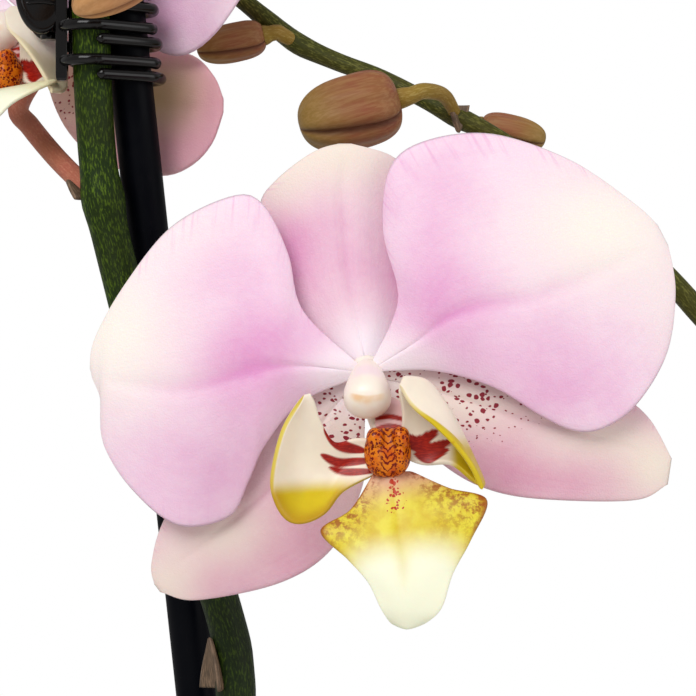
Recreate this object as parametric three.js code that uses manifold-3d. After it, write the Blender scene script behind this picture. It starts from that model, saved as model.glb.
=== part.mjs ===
// A potted moth orchid in millimetres, +Z up, the origin at the middle of the pot's foot.
// The plant faces -Y. One bloom stands in front, and the viewer looks along +Y.
import * as THREE from 'three';
import { mergeVertices } from 'three/addons/utils/BufferGeometryUtils.js';
import Module from 'manifold-3d';

const wasm = await Module();
wasm.setup();

// Driving dimensions

const CLEARANCE = 0.3;
const PETAL_THICKNESS = 0.9;
const SEPAL_THICKNESS = 1.0;
const LIP_THICKNESS = 0.9;

const POT_HEIGHT = 118;
const POT_TOP_RADIUS = 62;
const POT_FOOT_RADIUS = 46;
const POT_WALL = 4;
const POT_FLOOR = 5;
const POT_SEGMENTS = 40;

const BARK_EDGE_HEIGHT = 99;
const BARK_MIDDLE_HEIGHT = 104;
const CHIP_COUNT = 30;
const CHIP_SIZE = { length: 21, width: 13, height: 7 };
const CHIP_REACH = 45;
const CHIP_TILT = 0.7;
const CHIP_VARIETY = { smallest: 0.8, size: 0.4, height: 0.5, lift: 0.6 };
const GOLDEN_ANGLE = 2.399963;

const CROWN = { x: 0, y: -6, radius: 9, foot: 72, shoulder: 145, top: 152 };

const STAKE = { radius: 3.5, foot: 58, top: 455, x: 4.6, y: 22, z: 105, leanX: -0.1024, leanY: -0.0693 };

const SPIKE_RADIUS = 3.1;
const PEDICEL_RADIUS = 1.7;
const BUD_STALK_RADIUS = 1.4;
const ROOT_RADIUS = 2.6;
const LEAF_HALF_THICKNESS = 1.7;

// Leaves: compass direction in degrees, height of the base, length, width, rise and height of the tip

const LEAVES = [
  { azimuth: -19, base: 122, length: 168, width: 62, rise: 22, tip: 2 },
  { azimuth: 163, base: 124, length: 160, width: 60, rise: 26, tip: 6 },
  { azimuth: -8, base: 129, length: 146, width: 56, rise: 42, tip: 28 },
  { azimuth: 172, base: 131, length: 138, width: 54, rise: 46, tip: 34 },
  { azimuth: -20, base: 136, length: 104, width: 42, rise: 48, tip: 52 },
  { azimuth: 167, base: 141, length: 74, width: 30, rise: 44, tip: 54 },
];

// Roots: compass direction, reach from the crown and height at the crown

const ROOTS = [
  { azimuth: 22, reach: 41, height: 111 },
  { azimuth: 150, reach: 38, height: 112 },
  { azimuth: 205, reach: 42, height: 110 },
  { azimuth: 282, reach: 33, height: 110 },
  { azimuth: 325, reach: 38, height: 112 },
];

// Blooms: place of the middle, turn to the viewer's left, tilt up, roll and size.
// The oldest one has a short lip that points forward, a left sepal that swings up and a round right one.

const FRESH = { lipReach: 1, lipLift: 0, sepalSwing: 0, roundSepal: false };
const AGED = { lipReach: 0.62, lipLift: 35, sepalSwing: -28, roundSepal: true };

const BLOOMS = [
  { place: [12.9, -30, 353.3], left: 0, up: 0, roll: 0, size: 1, ...FRESH },
  { place: [-45.2, 23, 413.2], left: 32, up: 8, roll: 2, size: 0.98, ...AGED },
  { place: [106, -32, 254], left: -14, up: -6, roll: -5, size: 0.98, ...FRESH },
  { place: [130, 2, 324], left: -34, up: 4, roll: -12, size: 0.92, ...FRESH },
];

// Outlines of the flower's pieces in its own frame: right, up and forward from its middle.
// Each edge runs from the piece's foot to its tip.

const DORSAL_SEPAL = {
  thickness: SEPAL_THICKNESS,
  belly: 1.6,
  steps: [7, 3],
  edges: [
    [[-2.6, 2.6, -1.8], [-11, 9.5, -2.6], [-15.5, 19, -3.8], [-16.5, 25.8, -4.2], [-14, 29.6, -4],
      [-8.8, 33.6, -3.8], [-4.4, 35.2, -3.6]],
    [[2.4, 2.6, -1.8], [6, 10, -3], [8, 18, -4], [9, 24, -4.2], [8, 29, -4], [4.2, 33.1, -3.8],
      [-2.4, 35.2, -3.6]],
  ],
};

const LEFT_SEPAL = {
  thickness: SEPAL_THICKNESS,
  belly: 1.5,
  steps: [7, 3],
  edges: [
    [[-2.6, -0.4, -1.8], [-10.2, -3, -2.6], [-18, -8.5, -3.4], [-27, -16, -4.2], [-31.6, -23.4, -5],
      [-33.3, -29.5, -5.6], [-32.9, -32.9, -5.8]],
    [[-0.6, -2.7, -1.8], [-0.4, -12, -2.6], [-0.8, -18, -3], [-5.3, -27.2, -3.8], [-13.3, -32.5, -4.4],
      [-26, -35.3, -5.4], [-32, -34.1, -5.8]],
  ],
};

const RIGHT_SEPAL = {
  thickness: SEPAL_THICKNESS,
  belly: 1.5,
  steps: [7, 3],
  edges: [
    [[2.6, -0.6, -1.8], [10, 2.4, -2.8], [20, 2.6, -3.4], [30, 0.6, -4], [38, -2.8, -4.6], [43.5, -7, -5],
      [47.2, -13.4, -5.4]],
    [[0.9, -2.5, -1.8], [4.3, -7.3, -2.4], [12.7, -15, -3.2], [20.3, -18.6, -3.8], [30, -19.8, -4.4],
      [41.7, -19.8, -5], [46.6, -17.4, -5.4]],
  ],
};

const ROUND_SEPAL = {
  thickness: SEPAL_THICKNESS,
  belly: 1.5,
  steps: [7, 3],
  edges: [
    [[2.6, -0.6, -1.8], [12, -2, -2.8], [23.8, -5.5, -3.6], [33.1, -8.1, -4], [37.5, -12, -4.3],
      [39.6, -16.2, -4.5]],
    [[0.9, -2.5, -1.8], [4.6, -14.6, -3], [10.9, -22.8, -3.6], [18.8, -26.9, -4], [27.8, -28.7, -4.2],
      [33.4, -27.4, -4.3], [37.6, -23.9, -4.4], [39.7, -18.4, -4.5]],
  ],
};

const LEFT_PETAL = {
  thickness: PETAL_THICKNESS,
  belly: 2.6,
  steps: [9, 4],
  edges: [
    [[-2.4, 2.2, 0], [-9.8, 9.5, 0.6], [-12.2, 18.6, 0.6], [-16, 25.8, 0], [-20.6, 26.9, 0],
      [-29.8, 22.4, -0.6], [-36.9, 13.7, -1.2], [-41.5, 5.6, -1.6], [-42.5, 0.6, -1.8]],
    [[-2.6, -1.4, 0], [-10.2, -4.7, 0.6], [-15.6, -11.3, 0.8], [-18, -16.6, 0.6], [-21.1, -22.1, 0],
      [-28.9, -23.4, -0.4], [-36, -17.9, -1], [-40.2, -11.3, -1.4], [-40.4, -5, -1.7], [-42.2, -0.6, -1.8]],
  ],
};

const RIGHT_PETAL = {
  thickness: PETAL_THICKNESS,
  belly: 2.8,
  steps: [9, 4],
  edges: [
    [[1.3, 2.4, 0], [4.1, 8.5, 0.6], [4.6, 13.3, 0.6], [2.4, 22, 0.4], [3.5, 31.3, 0], [9, 35.4, -0.4],
      [19.2, 36.5, -0.8], [31.1, 32.5, -1.2], [40.2, 26.4, -1.6], [44.6, 22.6, -1.8]],
    [[2.6, 0.3, 0], [10.2, 0.2, 0.6], [19.2, -2.3, 0.8], [26.6, -6.7, 0.6], [31.8, -9, 0.3], [36.3, -8.5, 0],
      [41.4, -4.7, -0.6], [46, 3, -1.2], [47.3, 12, -1.6], [46.2, 19.5, -1.8]],
  ],
};

const LIP_LEFT_LOBE = {
  thickness: LIP_THICKNESS,
  belly: -2.6,
  steps: [5, 3],
  edges: [
    [[1.2, -9.8, 8.2], [-1.8, -9.8, 8.2], [-4.9, -10.3, 8.6], [-6.9, -7.2, 10.5], [-7.8, -4.4, 12],
      [-8.5, -3, 12.6]],
    [[2.2, -14.8, 8.4], [-3.6, -17.7, 9.6], [-6.4, -20.9, 11.4], [-9.3, -22.2, 12.9], [-11.8, -21.8, 13.6],
      [-13.6, -19.2, 14.2], [-14.2, -15.5, 14.4], [-12.6, -8.6, 13.6], [-9.4, -3.2, 12.8]],
  ],
};

const LIP_RIGHT_LOBE = {
  thickness: LIP_THICKNESS,
  belly: 0,
  steps: [5, 4],
  edges: [
    [[16.9, -17.2, 13.4], [15.4, -13.9, 14.4], [13, -10.7, 14.8], [9.9, -7.7, 14.6], [6.6, -5, 13.6],
      [4.7, -1.8, 12.4]],
    [[17.2, -16.8, 11.8], [16.5, -14.9, 9.4], [14.5, -10.8, 8], [11.9, -5.8, 7.6], [8.9, -1.6, 8.6],
      [5.2, -0.7, 11.6]],
    [[16.2, -16.6, 11.2], [12.4, -13.6, 9.4], [8.2, -13.8, 8.2], [5, -12.2, 7.8], [5, -9.7, 7.8],
      [5.2, -6.2, 8.6], [4.6, -2.6, 10.6]],
  ],
};

const LIP_MIDDLE_LOBE = {
  thickness: LIP_THICKNESS,
  belly: 0,
  steps: [7, 4],
  edges: [
    [[1.2, -14.6, 8.6], [-2.6, -20.4, 10.4], [-7, -23.4, 12], [-2.9, -27.6, 13.2], [0, -30.8, 13.6],
      [1.9, -34.6, 13.4], [3.6, -37.1, 12.4]],
    [[3.8, -14.6, 9.4], [4.1, -18.7, 11], [4.7, -23.1, 13], [5.1, -27, 14.4], [5.3, -31, 14.8],
      [5.5, -34.7, 14.2], [5.8, -37.9, 12.8]],
    [[6.4, -14.8, 8.6], [12.3, -17.2, 10.4], [17.7, -18.8, 12], [15.3, -24.6, 13.2], [12.6, -29.6, 13.6],
      [10.9, -34.7, 13.4], [8, -37.2, 12.4]],
  ],
};

const LIP_TOP = { up: -14.6, forward: 9 };
const LIP_CLAW = { radius: 1.1, path: [[0.3, -3.3, 0.3], [0.6, -5.4, 2.6], [1.6, -8.2, 5.2], [2.8, -11.4, 8]] };
const CALLUS = { place: [3, -11.9, 9.6], radii: [3.5, 3.7, 2.6] };
const CALLUS_HORNS = [
  { place: [1.2, -9.8, 11], radii: [1.4, 1.7, 1.9] },
  { place: [4.9, -9.6, 11], radii: [1.4, 1.7, 1.9] },
];

const COLUMN_PATH = [[0, 0, -4], [0, 0.1, 0], [0, -0.8, 3.5], [0, -3.2, 7], [0, -5.8, 9.4]];
const COLUMN_RADII = [[0, 2], [0.34, 2], [0.5, 2.6], [0.74, 3.4], [0.9, 3.5], [1, 2.2]];

// Colours

const finish = (color, roughness) => new THREE.MeshStandardMaterial({ color, roughness, metalness: 0 });
const petalFinish = finish(0xf2cfe6, 0.55);
const sepalFinish = finish(0xeec6de, 0.55);
const lipFinish = finish(0xf0dc8c, 0.45);
const columnFinish = finish(0xf7efe4, 0.45);
const leafFinish = finish(0x3c6430, 0.4);
const spikeFinish = finish(0x55692f, 0.5);
const budFinish = finish(0x9a7a62, 0.5);
const rootFinish = finish(0xa9b29a, 0.75);
const barkFinish = finish(0x5a4030, 0.9);
const potFinish = finish(0xf1efea, 0.2);
const stakeFinish = finish(0x101214, 0.3);
const clipFinish = finish(0x0b0b0c, 0.2);

// Solids from grids of points

function vector([x, y, z]) {
  return new THREE.Vector3(x, y, z);
}

function curveThrough(points) {
  return new THREE.CatmullRomCurve3(points.map(vector), false, 'catmullrom', 0.5);
}

function between(table, s) {
  // Straight-line steps through a table of [place, value] pairs.
  const next = Math.max(1, table.findIndex(([place]) => place >= s));
  const [placeA, valueA] = table[next - 1];
  const [placeB, valueB] = table[next];
  return THREE.MathUtils.mapLinear(s, placeA, placeB, valueA, valueB);
}

function solidGeometry(positions, index) {
  // Turns the faces outwards if their signed volume is negative.
  const point = (i) => new THREE.Vector3().fromArray(positions, 3 * i);
  let volume = 0;
  for (let i = 0; i < index.length; i += 3) {
    volume += point(index[i]).dot(point(index[i + 1]).cross(point(index[i + 2])));
  }
  if (volume < 0) {
    index.reverse();
  }
  const geometry = new THREE.BufferGeometry();
  geometry.setAttribute('position', new THREE.Float32BufferAttribute(positions, 3));
  geometry.setIndex(index);
  return geometry;
}

function bladeGeometry(middle, halfThickness, alongSteps, acrossSteps) {
  // A thin body on both sides of middle(s, t), cut into triangles alike on both faces.
  const positions = [];
  const index = [];
  const row = acrossSteps + 1;
  const faceSize = (alongSteps + 1) * row;
  const nudge = 0.01;
  const normalAt = (s, t) => {
    const along = middle(Math.min(1, s + nudge), t).sub(middle(Math.max(0, s - nudge), t));
    const across = middle(s, Math.min(1, t + nudge)).sub(middle(s, Math.max(0, t - nudge)));
    return along.cross(across).normalize();
  };
  for (const side of [1, -1]) {
    for (let i = 0; i <= alongSteps; i += 1) {
      for (let j = 0; j <= acrossSteps; j += 1) {
        const s = i / alongSteps;
        const t = j / acrossSteps;
        const point = middle(s, t).addScaledVector(normalAt(s, t), side * halfThickness(s));
        positions.push(point.x, point.y, point.z);
      }
    }
  }
  for (let i = 0; i < alongSteps; i += 1) {
    for (let j = 0; j < acrossSteps; j += 1) {
      const a = i * row + j;
      const b = a + 1;
      const c = a + row;
      const d = c + 1;
      index.push(a, c, d, a, d, b);
      index.push(faceSize + a, faceSize + d, faceSize + c, faceSize + a, faceSize + b, faceSize + d);
    }
  }
  const rim = [];
  for (let j = 0; j < acrossSteps; j += 1) {
    rim.push(j);
  }
  for (let i = 0; i < alongSteps; i += 1) {
    rim.push(i * row + acrossSteps);
  }
  for (let j = acrossSteps; j > 0; j -= 1) {
    rim.push(alongSteps * row + j);
  }
  for (let i = alongSteps; i > 0; i -= 1) {
    rim.push(i * row);
  }
  rim.forEach((a, k) => {
    const b = rim[(k + 1) % rim.length];
    index.push(a, b, faceSize + b, a, faceSize + b, faceSize + a);
  });
  return solidGeometry(positions, index);
}

function tubeGeometry(path, radiusAt, steps, sides) {
  // A closed tube along a smooth curve, with a flat cap at each end.
  const curve = curveThrough(path);
  const frames = curve.computeFrenetFrames(steps, false);
  const positions = [];
  const index = [];
  for (let i = 0; i <= steps; i += 1) {
    const middle = curve.getPointAt(i / steps);
    const radius = radiusAt(i / steps);
    for (let k = 0; k < sides; k += 1) {
      const angle = (2 * Math.PI * k) / sides;
      const point = middle.clone();
      point.addScaledVector(frames.normals[i], radius * Math.cos(angle));
      point.addScaledVector(frames.binormals[i], radius * Math.sin(angle));
      positions.push(point.x, point.y, point.z);
    }
  }
  for (let i = 0; i < steps; i += 1) {
    for (let k = 0; k < sides; k += 1) {
      const a = i * sides + k;
      const b = i * sides + ((k + 1) % sides);
      index.push(a, b, b + sides, a, b + sides, a + sides);
    }
  }
  for (let k = 1; k < sides - 1; k += 1) {
    const last = steps * sides;
    index.push(0, k + 1, k);
    index.push(last, last + k, last + k + 1);
  }
  return solidGeometry(positions, index);
}

function ellipsoidGeometry(place, radii) {
  const geometry = new THREE.SphereGeometry(1, 7, 5);
  geometry.scale(...radii);
  geometry.translate(...place);
  return geometry;
}

function cylinderGeometry(x, y, bottom, top, radius, sides) {
  const geometry = new THREE.CylinderGeometry(radius, radius, top - bottom, sides);
  geometry.rotateX(Math.PI / 2);
  geometry.translate(x, y, (bottom + top) / 2);
  return geometry;
}

function boxGeometry(low, high) {
  const size = high.map((value, i) => value - low[i]);
  const geometry = new THREE.BoxGeometry(...size);
  geometry.translate(...low.map((value, i) => value + size[i] / 2));
  return geometry;
}

// Joining and cutting

function toSolid(geometry) {
  const bare = geometry.clone();
  bare.deleteAttribute('normal');
  bare.deleteAttribute('uv');
  const merged = mergeVertices(bare, 1e-4);
  return new wasm.Manifold(new wasm.Mesh({
    numProp: 3,
    vertProperties: new Float32Array(merged.attributes.position.array),
    triVerts: new Uint32Array(merged.index.array),
  }));
}

function toGeometry(solid) {
  const mesh = solid.getMesh();
  const geometry = new THREE.BufferGeometry();
  geometry.setAttribute('position', new THREE.BufferAttribute(mesh.vertProperties, 3));
  geometry.setIndex(new THREE.BufferAttribute(mesh.triVerts, 1));
  return geometry;
}

function joined(geometries) {
  return geometries.map(toSolid).reduce((whole, solid) => whole.add(solid));
}

function cutBy(solid, geometries) {
  return geometries.map(toSolid).reduce((rest, tool) => rest.subtract(tool), solid);
}

function largestPiece(solid) {
  return solid.decompose().reduce((best, piece) => (piece.volume() > best.volume() ? piece : best));
}

function piece(name, geometry, material) {
  const mesh = new THREE.Mesh(geometry, material);
  mesh.name = name;
  return mesh;
}

// Flower pieces

function throughEdges(blade) {
  // The middle surface: a curve through the edges at each share of their lengths, with a swell between them.
  const curves = blade.edges.map(curveThrough);
  return (s, t) => {
    const points = curves.map((curve) => curve.getPointAt(s));
    const point = points[0].clone();
    if (points.length === 2) {
      point.lerp(points[1], t);
    } else {
      new THREE.CatmullRomCurve3(points, false, 'catmullrom', 0.5).getPoint(t, point);
    }
    point.z += blade.belly * Math.sin(Math.PI * s) * Math.sin(Math.PI * t);
    return point;
  };
}

function flowerBlade(blade) {
  return bladeGeometry(throughEdges(blade), () => blade.thickness / 2, ...blade.steps);
}

function middleLobe({ lipReach, lipLift }) {
  // The middle lobe with its length below the callus drawn in or out, and then swung forward about its top.
  const lift = THREE.MathUtils.degToRad(lipLift);
  const drawn = ([x, y, z]) => {
    const down = (LIP_TOP.up - y) * lipReach;
    const out = z - LIP_TOP.forward;
    const up = LIP_TOP.up - down * Math.cos(lift) + out * Math.sin(lift);
    return [x, up, LIP_TOP.forward + down * Math.sin(lift) + out * Math.cos(lift)];
  };
  return { ...LIP_MIDDLE_LOBE, edges: LIP_MIDDLE_LOBE.edges.map((edge) => edge.map(drawn)) };
}

function lipGeometry(bloom) {
  const parts = [
    ellipsoidGeometry(CALLUS.place, CALLUS.radii),
    flowerBlade(LIP_LEFT_LOBE),
    flowerBlade(LIP_RIGHT_LOBE),
    flowerBlade(middleLobe(bloom)),
    tubeGeometry(LIP_CLAW.path, () => LIP_CLAW.radius, 4, 6),
    ...CALLUS_HORNS.map((horn) => ellipsoidGeometry(horn.place, horn.radii)),
  ];
  return toGeometry(joined(parts));
}

function columnGeometry() {
  return tubeGeometry(COLUMN_PATH, (s) => between(COLUMN_RADII, s), 8, 8);
}

function bloomTurn({ left, up, roll }) {
  // Turns the flower's right, up and forward into the world's +X, +Z and -Y, then roll, tilt and turn.
  const axisX = new THREE.Vector3(1, 0, 0);
  const axisZ = new THREE.Vector3(0, 0, 1);
  const turn = new THREE.Quaternion().setFromAxisAngle(axisZ, THREE.MathUtils.degToRad(-left));
  turn.multiply(new THREE.Quaternion().setFromAxisAngle(axisX, THREE.MathUtils.degToRad(90 - up)));
  turn.multiply(new THREE.Quaternion().setFromAxisAngle(axisZ, THREE.MathUtils.degToRad(roll)));
  return turn;
}

function bloomPoint(bloom, local) {
  const point = vector(local).multiplyScalar(bloom.size).applyQuaternion(bloomTurn(bloom));
  return point.add(vector(bloom.place)).toArray();
}

function makeBloom(bloom, number) {
  const group = new THREE.Group();
  group.quaternion.copy(bloomTurn(bloom));
  group.position.set(...bloom.place);
  group.scale.setScalar(bloom.size);
  const name = (part) => `bloom_${number}_${part}`;
  group.add(piece(name('dorsal_sepal'), flowerBlade(DORSAL_SEPAL), sepalFinish));
  const leftSepal = flowerBlade(LEFT_SEPAL).rotateZ(THREE.MathUtils.degToRad(bloom.sepalSwing));
  group.add(piece(name('left_sepal'), leftSepal, sepalFinish));
  group.add(piece(name('right_sepal'), flowerBlade(bloom.roundSepal ? ROUND_SEPAL : RIGHT_SEPAL), sepalFinish));
  group.add(piece(name('left_petal'), flowerBlade(LEFT_PETAL), petalFinish));
  group.add(piece(name('right_petal'), flowerBlade(RIGHT_PETAL), petalFinish));
  group.add(piece(name('lip'), lipGeometry(bloom), lipFinish));
  group.add(piece(name('column'), columnGeometry(), columnFinish));
  return group;
}

// Spikes, their stalks, bracts and buds

const SPIKE_A_PATH = [
  [-3.7, -16.2, 119], [-6, -21.5, 121], [-10, -23.5, 133], [-11.5, -21, 156], [-11, -12, 192], [-9.5, -6, 228],
  [-8, -3.6, 262], [-8.2, -4, 300], [-10.2, -4, 314], [-19.8, -4.5, 342], [-27.1, -3.5, 369], [-30.2, -3, 383],
  [-31.5, -3, 398], [-32, -4.8, 418], [-33, -8, 450], [-28, -9, 475], [-15, -8, 496], [5, -7, 508],
  [28, -6, 509], [48, -5, 499], [60, -5, 488],
];
const SPIKE_A_RADII = [[0, 3.1], [0.62, 3.1], [0.8, 2.4], [1, 1.1]];

const SPIKE_B_PATH = [
  [2.6, 3.8, 119.5], [4.6, 9.6, 121.3], [9, 14.5, 133], [17, 16, 157], [37, 14, 195], [67, 11, 242], [92, 12, 290],
  [90, 12, 335], [67.2, 10, 365], [51, 10, 380], [36.5, 10, 391.4], [27.4, 11.5, 396.4], [21, 13, 400],
  [14.8, 15, 403.2], [8.5, 16, 405.6], [2.2, 17, 408.5], [-1.8, 18, 411.4], [-6.6, 19, 415.4], [-12, 20, 420],
];
const SPIKE_B_RADII = [[0, 3], [0.6, 2.6], [0.75, 1.9], [0.86, 1.45], [0.92, 1.5], [0.97, 1.75], [1, 1.2]];

// Stalks of the open blooms: the last point but one lies behind the flower, and the last is at its back

const HUB_BACK = [0, 0, -4 - CLEARANCE];

const BLOOM_STALKS_A = [
  [[-15.6, -4.3, 330], [-6, -8, 338], [6, -14, 348], bloomPoint(BLOOMS[0], [0, 0, -9]),
    bloomPoint(BLOOMS[0], HUB_BACK)],
  [[-30.2, -3, 381], [-34.3, 4.2, 384.5], bloomPoint(BLOOMS[1], [12.3, -27, 3.7]),
    bloomPoint(BLOOMS[1], [6.9, -23, 1.7]), bloomPoint(BLOOMS[1], [0.8, -18.4, -1.1]),
    bloomPoint(BLOOMS[1], [-4.6, -14.4, -4.2]), bloomPoint(BLOOMS[1], [-5.6, -9, -8]),
    bloomPoint(BLOOMS[1], [-2.4, -3.4, -10.6]), bloomPoint(BLOOMS[1], [0, 0, -9.6]),
    bloomPoint(BLOOMS[1], HUB_BACK)],
];

const BLOOM_STALKS_B = [
  [[78, 9, 257], [88, 0, 252], [98, -14, 250], bloomPoint(BLOOMS[2], [0, 0, -10]),
    bloomPoint(BLOOMS[2], HUB_BACK)],
  [[92.5, 12, 318], [104, 16, 318], [115, 14, 321], bloomPoint(BLOOMS[3], [0, 0, -10]),
    bloomPoint(BLOOMS[3], HUB_BACK)],
];

// Buds: foot, tip and width, with the stalk's own start on the spike. The larger the bluntness, the blunter.

const BUD_BLUNTNESS = { a: 1.8, b: 2.5 };
const BUD_LEAN = 0.8;

const BUDS_A = [
  { from: [-32.3, -6, 430], by: [[-27, -12, 431], [-19, -20, 426.5]], foot: [-19.5, -22, 419],
    tip: [-32.7, -22, 409.2], width: 9.8 },
  { from: [-32.6, -8.4, 456], by: [[-38, -12, 460]], foot: [-43, -15, 459], tip: [-53, -20, 452], width: 9.5 },
  { from: [-20, -8.5, 489], by: [[-22, -14, 494]], foot: [-23, -18, 496], tip: [-26, -27, 492], width: 8.5 },
  { from: [14, -6.6, 509.5], by: [[17, -10, 515]], foot: [19, -13, 517], tip: [23, -20, 516], width: 7 },
  { from: [44, -5.2, 501.5], by: [[48, -4, 506]], foot: [51, -3, 507.5], tip: [58, -2, 507.5], width: 5.6 },
];

const BUDS_B = [
  { from: [1.8, 17.1, 408.8], by: [[-1, 15.8, 410.2]], foot: [-4.1, 15.5, 410.2],
    tip: [-15.7, 16, 407.6], width: 7 },
  { from: [28.4, 11.2, 395.9], by: [[26, 6.4, 399], [22.6, 2.4, 399.4]], foot: [18.4, 1, 398],
    tip: [2, 1, 393.4], width: 13 },
  { from: [30.6, 11, 394.5], by: [[30.2, 15.6, 395.6]], foot: [32.6, 18.2, 394.9], tip: [43.8, 18.2, 392.6],
    width: 6.4 },
  { from: [-9.6, 19.6, 418], by: [[-10.6, 22, 421]], foot: [-11.4, 23.6, 423], tip: [-13.6, 26, 428], width: 4.4 },
];

const BRACTS_A = [
  { at: [-13.3, -4.2, 322], toward: [-0.9, -0.3, 0.9], length: 7 },
  { at: [-32.6, -2.4, 381.2], toward: [-0.8, 0.35, 0.75], length: 5 },
  { at: [-10.6, -4.4, 301.6], toward: [-0.22, -0.12, 1], length: 8.8 },
  { at: [-9, -4.6, 240], toward: [0.6, -0.8, 0.9], length: 12 },
];
const BRACTS_B = [
  { at: [43.2, 11.2, 205], toward: [-0.3, -0.8, 0.9], length: 12 },
  { at: [28.2, 10.3, 397.8], toward: [0.1, -0.16, -1], length: 4.8 },
];

function bractGeometry({ at, toward, length }) {
  // A small pointed scale that clasps the stem and leans away from it.
  const lean = vector(toward).normalize();
  const start = vector(at);
  const width = length * 0.75;
  const side = new THREE.Vector3(0, 0, 1).cross(lean).normalize();
  const out = side.clone().cross(new THREE.Vector3(0, 0, 1)).negate().normalize();
  const middle = (s, t) => {
    const share = 2 * t - 1;
    const point = start.clone().addScaledVector(lean, s * length);
    point.addScaledVector(side, (share * width * (1.04 - s ** 1.6)) / 2);
    return point.addScaledVector(out, -0.35 * width * share * share * (1 - s));
  };
  return bladeGeometry(middle, () => 0.45, 3, 3);
}

function budStalk({ from, by, foot, tip }) {
  // Ends a clearance short of the bud's foot, along the bud's own axis.
  const axis = vector(tip).sub(vector(foot)).normalize();
  const behind = (distance) => vector(foot).addScaledVector(axis, -distance).toArray();
  const radiusAt = (s) => BUD_STALK_RADIUS - 0.45 * (1 - s) ** 2;
  return tubeGeometry([from, ...by, behind(2), behind(CLEARANCE)], radiusAt, 6, 6);
}

function spikeGeometry(path, radii, stalks, buds, bracts) {
  const parts = [tubeGeometry(path, (s) => between(radii, s), 38, 6)];
  stalks.forEach((stalk) => parts.push(tubeGeometry(stalk, (s) => PEDICEL_RADIUS + 0.2 * s, 2 * stalk.length, 5)));
  buds.forEach((bud) => parts.push(budStalk(bud)));
  bracts.forEach((bract) => parts.push(bractGeometry(bract)));
  return toGeometry(joined(parts));
}

function budGeometry({ foot, tip, width }, bluntness) {
  // An egg-shaped bud, fuller towards its foot: a rounded square profile whose length is drawn by BUD_LEAN.
  const start = vector(foot);
  const axis = vector(tip).sub(start);
  const length = axis.length();
  axis.normalize();
  const side = axis.clone().cross(new THREE.Vector3(0, 0, 1)).normalize();
  const up = side.clone().cross(axis);
  const rings = 7;
  const sides = 8;
  const path = [0, 0.5, 1].map((s) => start.clone().addScaledVector(axis, s * length).toArray());
  const geometry = tubeGeometry(path, (s) => {
    const along = Math.abs(2 * Math.min(0.97, Math.max(0.02, s)) ** BUD_LEAN - 1);
    return (width / 2) * (1 - along ** bluntness) ** (1 / bluntness);
  }, rings, sides);
  const position = geometry.attributes.position;
  const point = new THREE.Vector3();
  for (let i = 0; i < position.count; i += 1) {
    point.fromBufferAttribute(position, i).sub(start);
    const height = point.dot(up);
    point.addScaledVector(up, -0.08 * height).add(start);
    position.setXYZ(i, point.x, point.y, point.z);
  }
  return geometry;
}

// Leaves, crown and roots

function leafShape(s) {
  const opening = 0.24 + 0.76 * Math.sin((Math.PI / 2) * Math.min(1, s / 0.5));
  const closing = s < 0.5 ? 1 : Math.sqrt(1 - 0.975 * ((s - 0.5) / 0.5) ** 2.4);
  return opening * closing;
}

function leafGeometry({ azimuth, base, length, width, rise, tip }) {
  // A strap leaf along an arch, folded upwards a little along its midrib.
  const heading = THREE.MathUtils.degToRad(azimuth);
  const outward = new THREE.Vector3(Math.cos(heading), Math.sin(heading), 0);
  const side = new THREE.Vector3(-Math.sin(heading), Math.cos(heading), 0);
  const slope = Math.atan2(0.42 * rise, 0.1 * length);
  const clasp = CROWN.radius + 2 * CLEARANCE + LEAF_HALF_THICKNESS * Math.sin(slope);
  const along = (reach, height) => [
    CROWN.x + outward.x * reach, CROWN.y + outward.y * reach, base + height,
  ];
  const arch = curveThrough([
    along(clasp, 0),
    along(clasp + 0.1 * length, 0.42 * rise),
    along(clasp + 0.36 * length, rise),
    along(clasp + 0.66 * length, 0.45 * rise + 0.6 * tip),
    along(clasp + 0.94 * length, tip - 4),
  ]);
  const middle = (s, t) => {
    const share = 2 * t - 1;
    const half = (width / 2) * leafShape(s);
    const offset = half * share;
    const point = arch.getPointAt(s).addScaledVector(side, offset);
    const held = Math.max(0, 1 - s / 0.1);
    const wrapped = clasp - Math.sqrt(Math.max(0, clasp ** 2 - Math.min(Math.abs(offset), clasp) ** 2));
    point.addScaledVector(outward, -wrapped * held);
    point.z += 0.24 * half * share * share + 0.6 * Math.sin(7 * s) * share;
    return point;
  };
  return bladeGeometry(middle, (s) => LEAF_HALF_THICKNESS - 0.8 * s, 10, 4);
}

function crownGeometry() {
  const { radius, foot, shoulder, top } = CROWN;
  const profile = [[0, foot], [radius - 2, foot], [radius, foot + 8], [radius, shoulder], [radius - 3.5, top - 6],
    [2.5, top], [0, top]];
  const geometry = new THREE.LatheGeometry(profile.map(([r, z]) => new THREE.Vector2(r, z)), 16);
  geometry.rotateX(Math.PI / 2);
  geometry.translate(CROWN.x, CROWN.y, 0);
  return geometry;
}

function rootPath({ azimuth, reach, height }, depth) {
  const heading = THREE.MathUtils.degToRad(azimuth);
  const start = CROWN.radius + CLEARANCE + 0.35 * ROOT_RADIUS;
  const at = (distance, z) => [
    CROWN.x + Math.cos(heading) * distance, CROWN.y + Math.sin(heading) * distance, z,
  ];
  return [at(start, height), at(start + 0.25 * reach, height + 3.5), at(start + 0.62 * reach, height + 1),
    at(start + 0.86 * reach, height - 9), at(start + 0.9 * reach, height - depth)];
}

function rootGeometry(root, swell) {
  return tubeGeometry(rootPath(root, 22 + 2 * swell), (s) => ROOT_RADIUS + swell - 0.5 * s, 8, 6);
}

// Stake, pot and bark

function stakeAt(z) {
  return [STAKE.x + STAKE.leanX * (z - STAKE.z), STAKE.y + STAKE.leanY * (z - STAKE.z), z];
}

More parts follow.
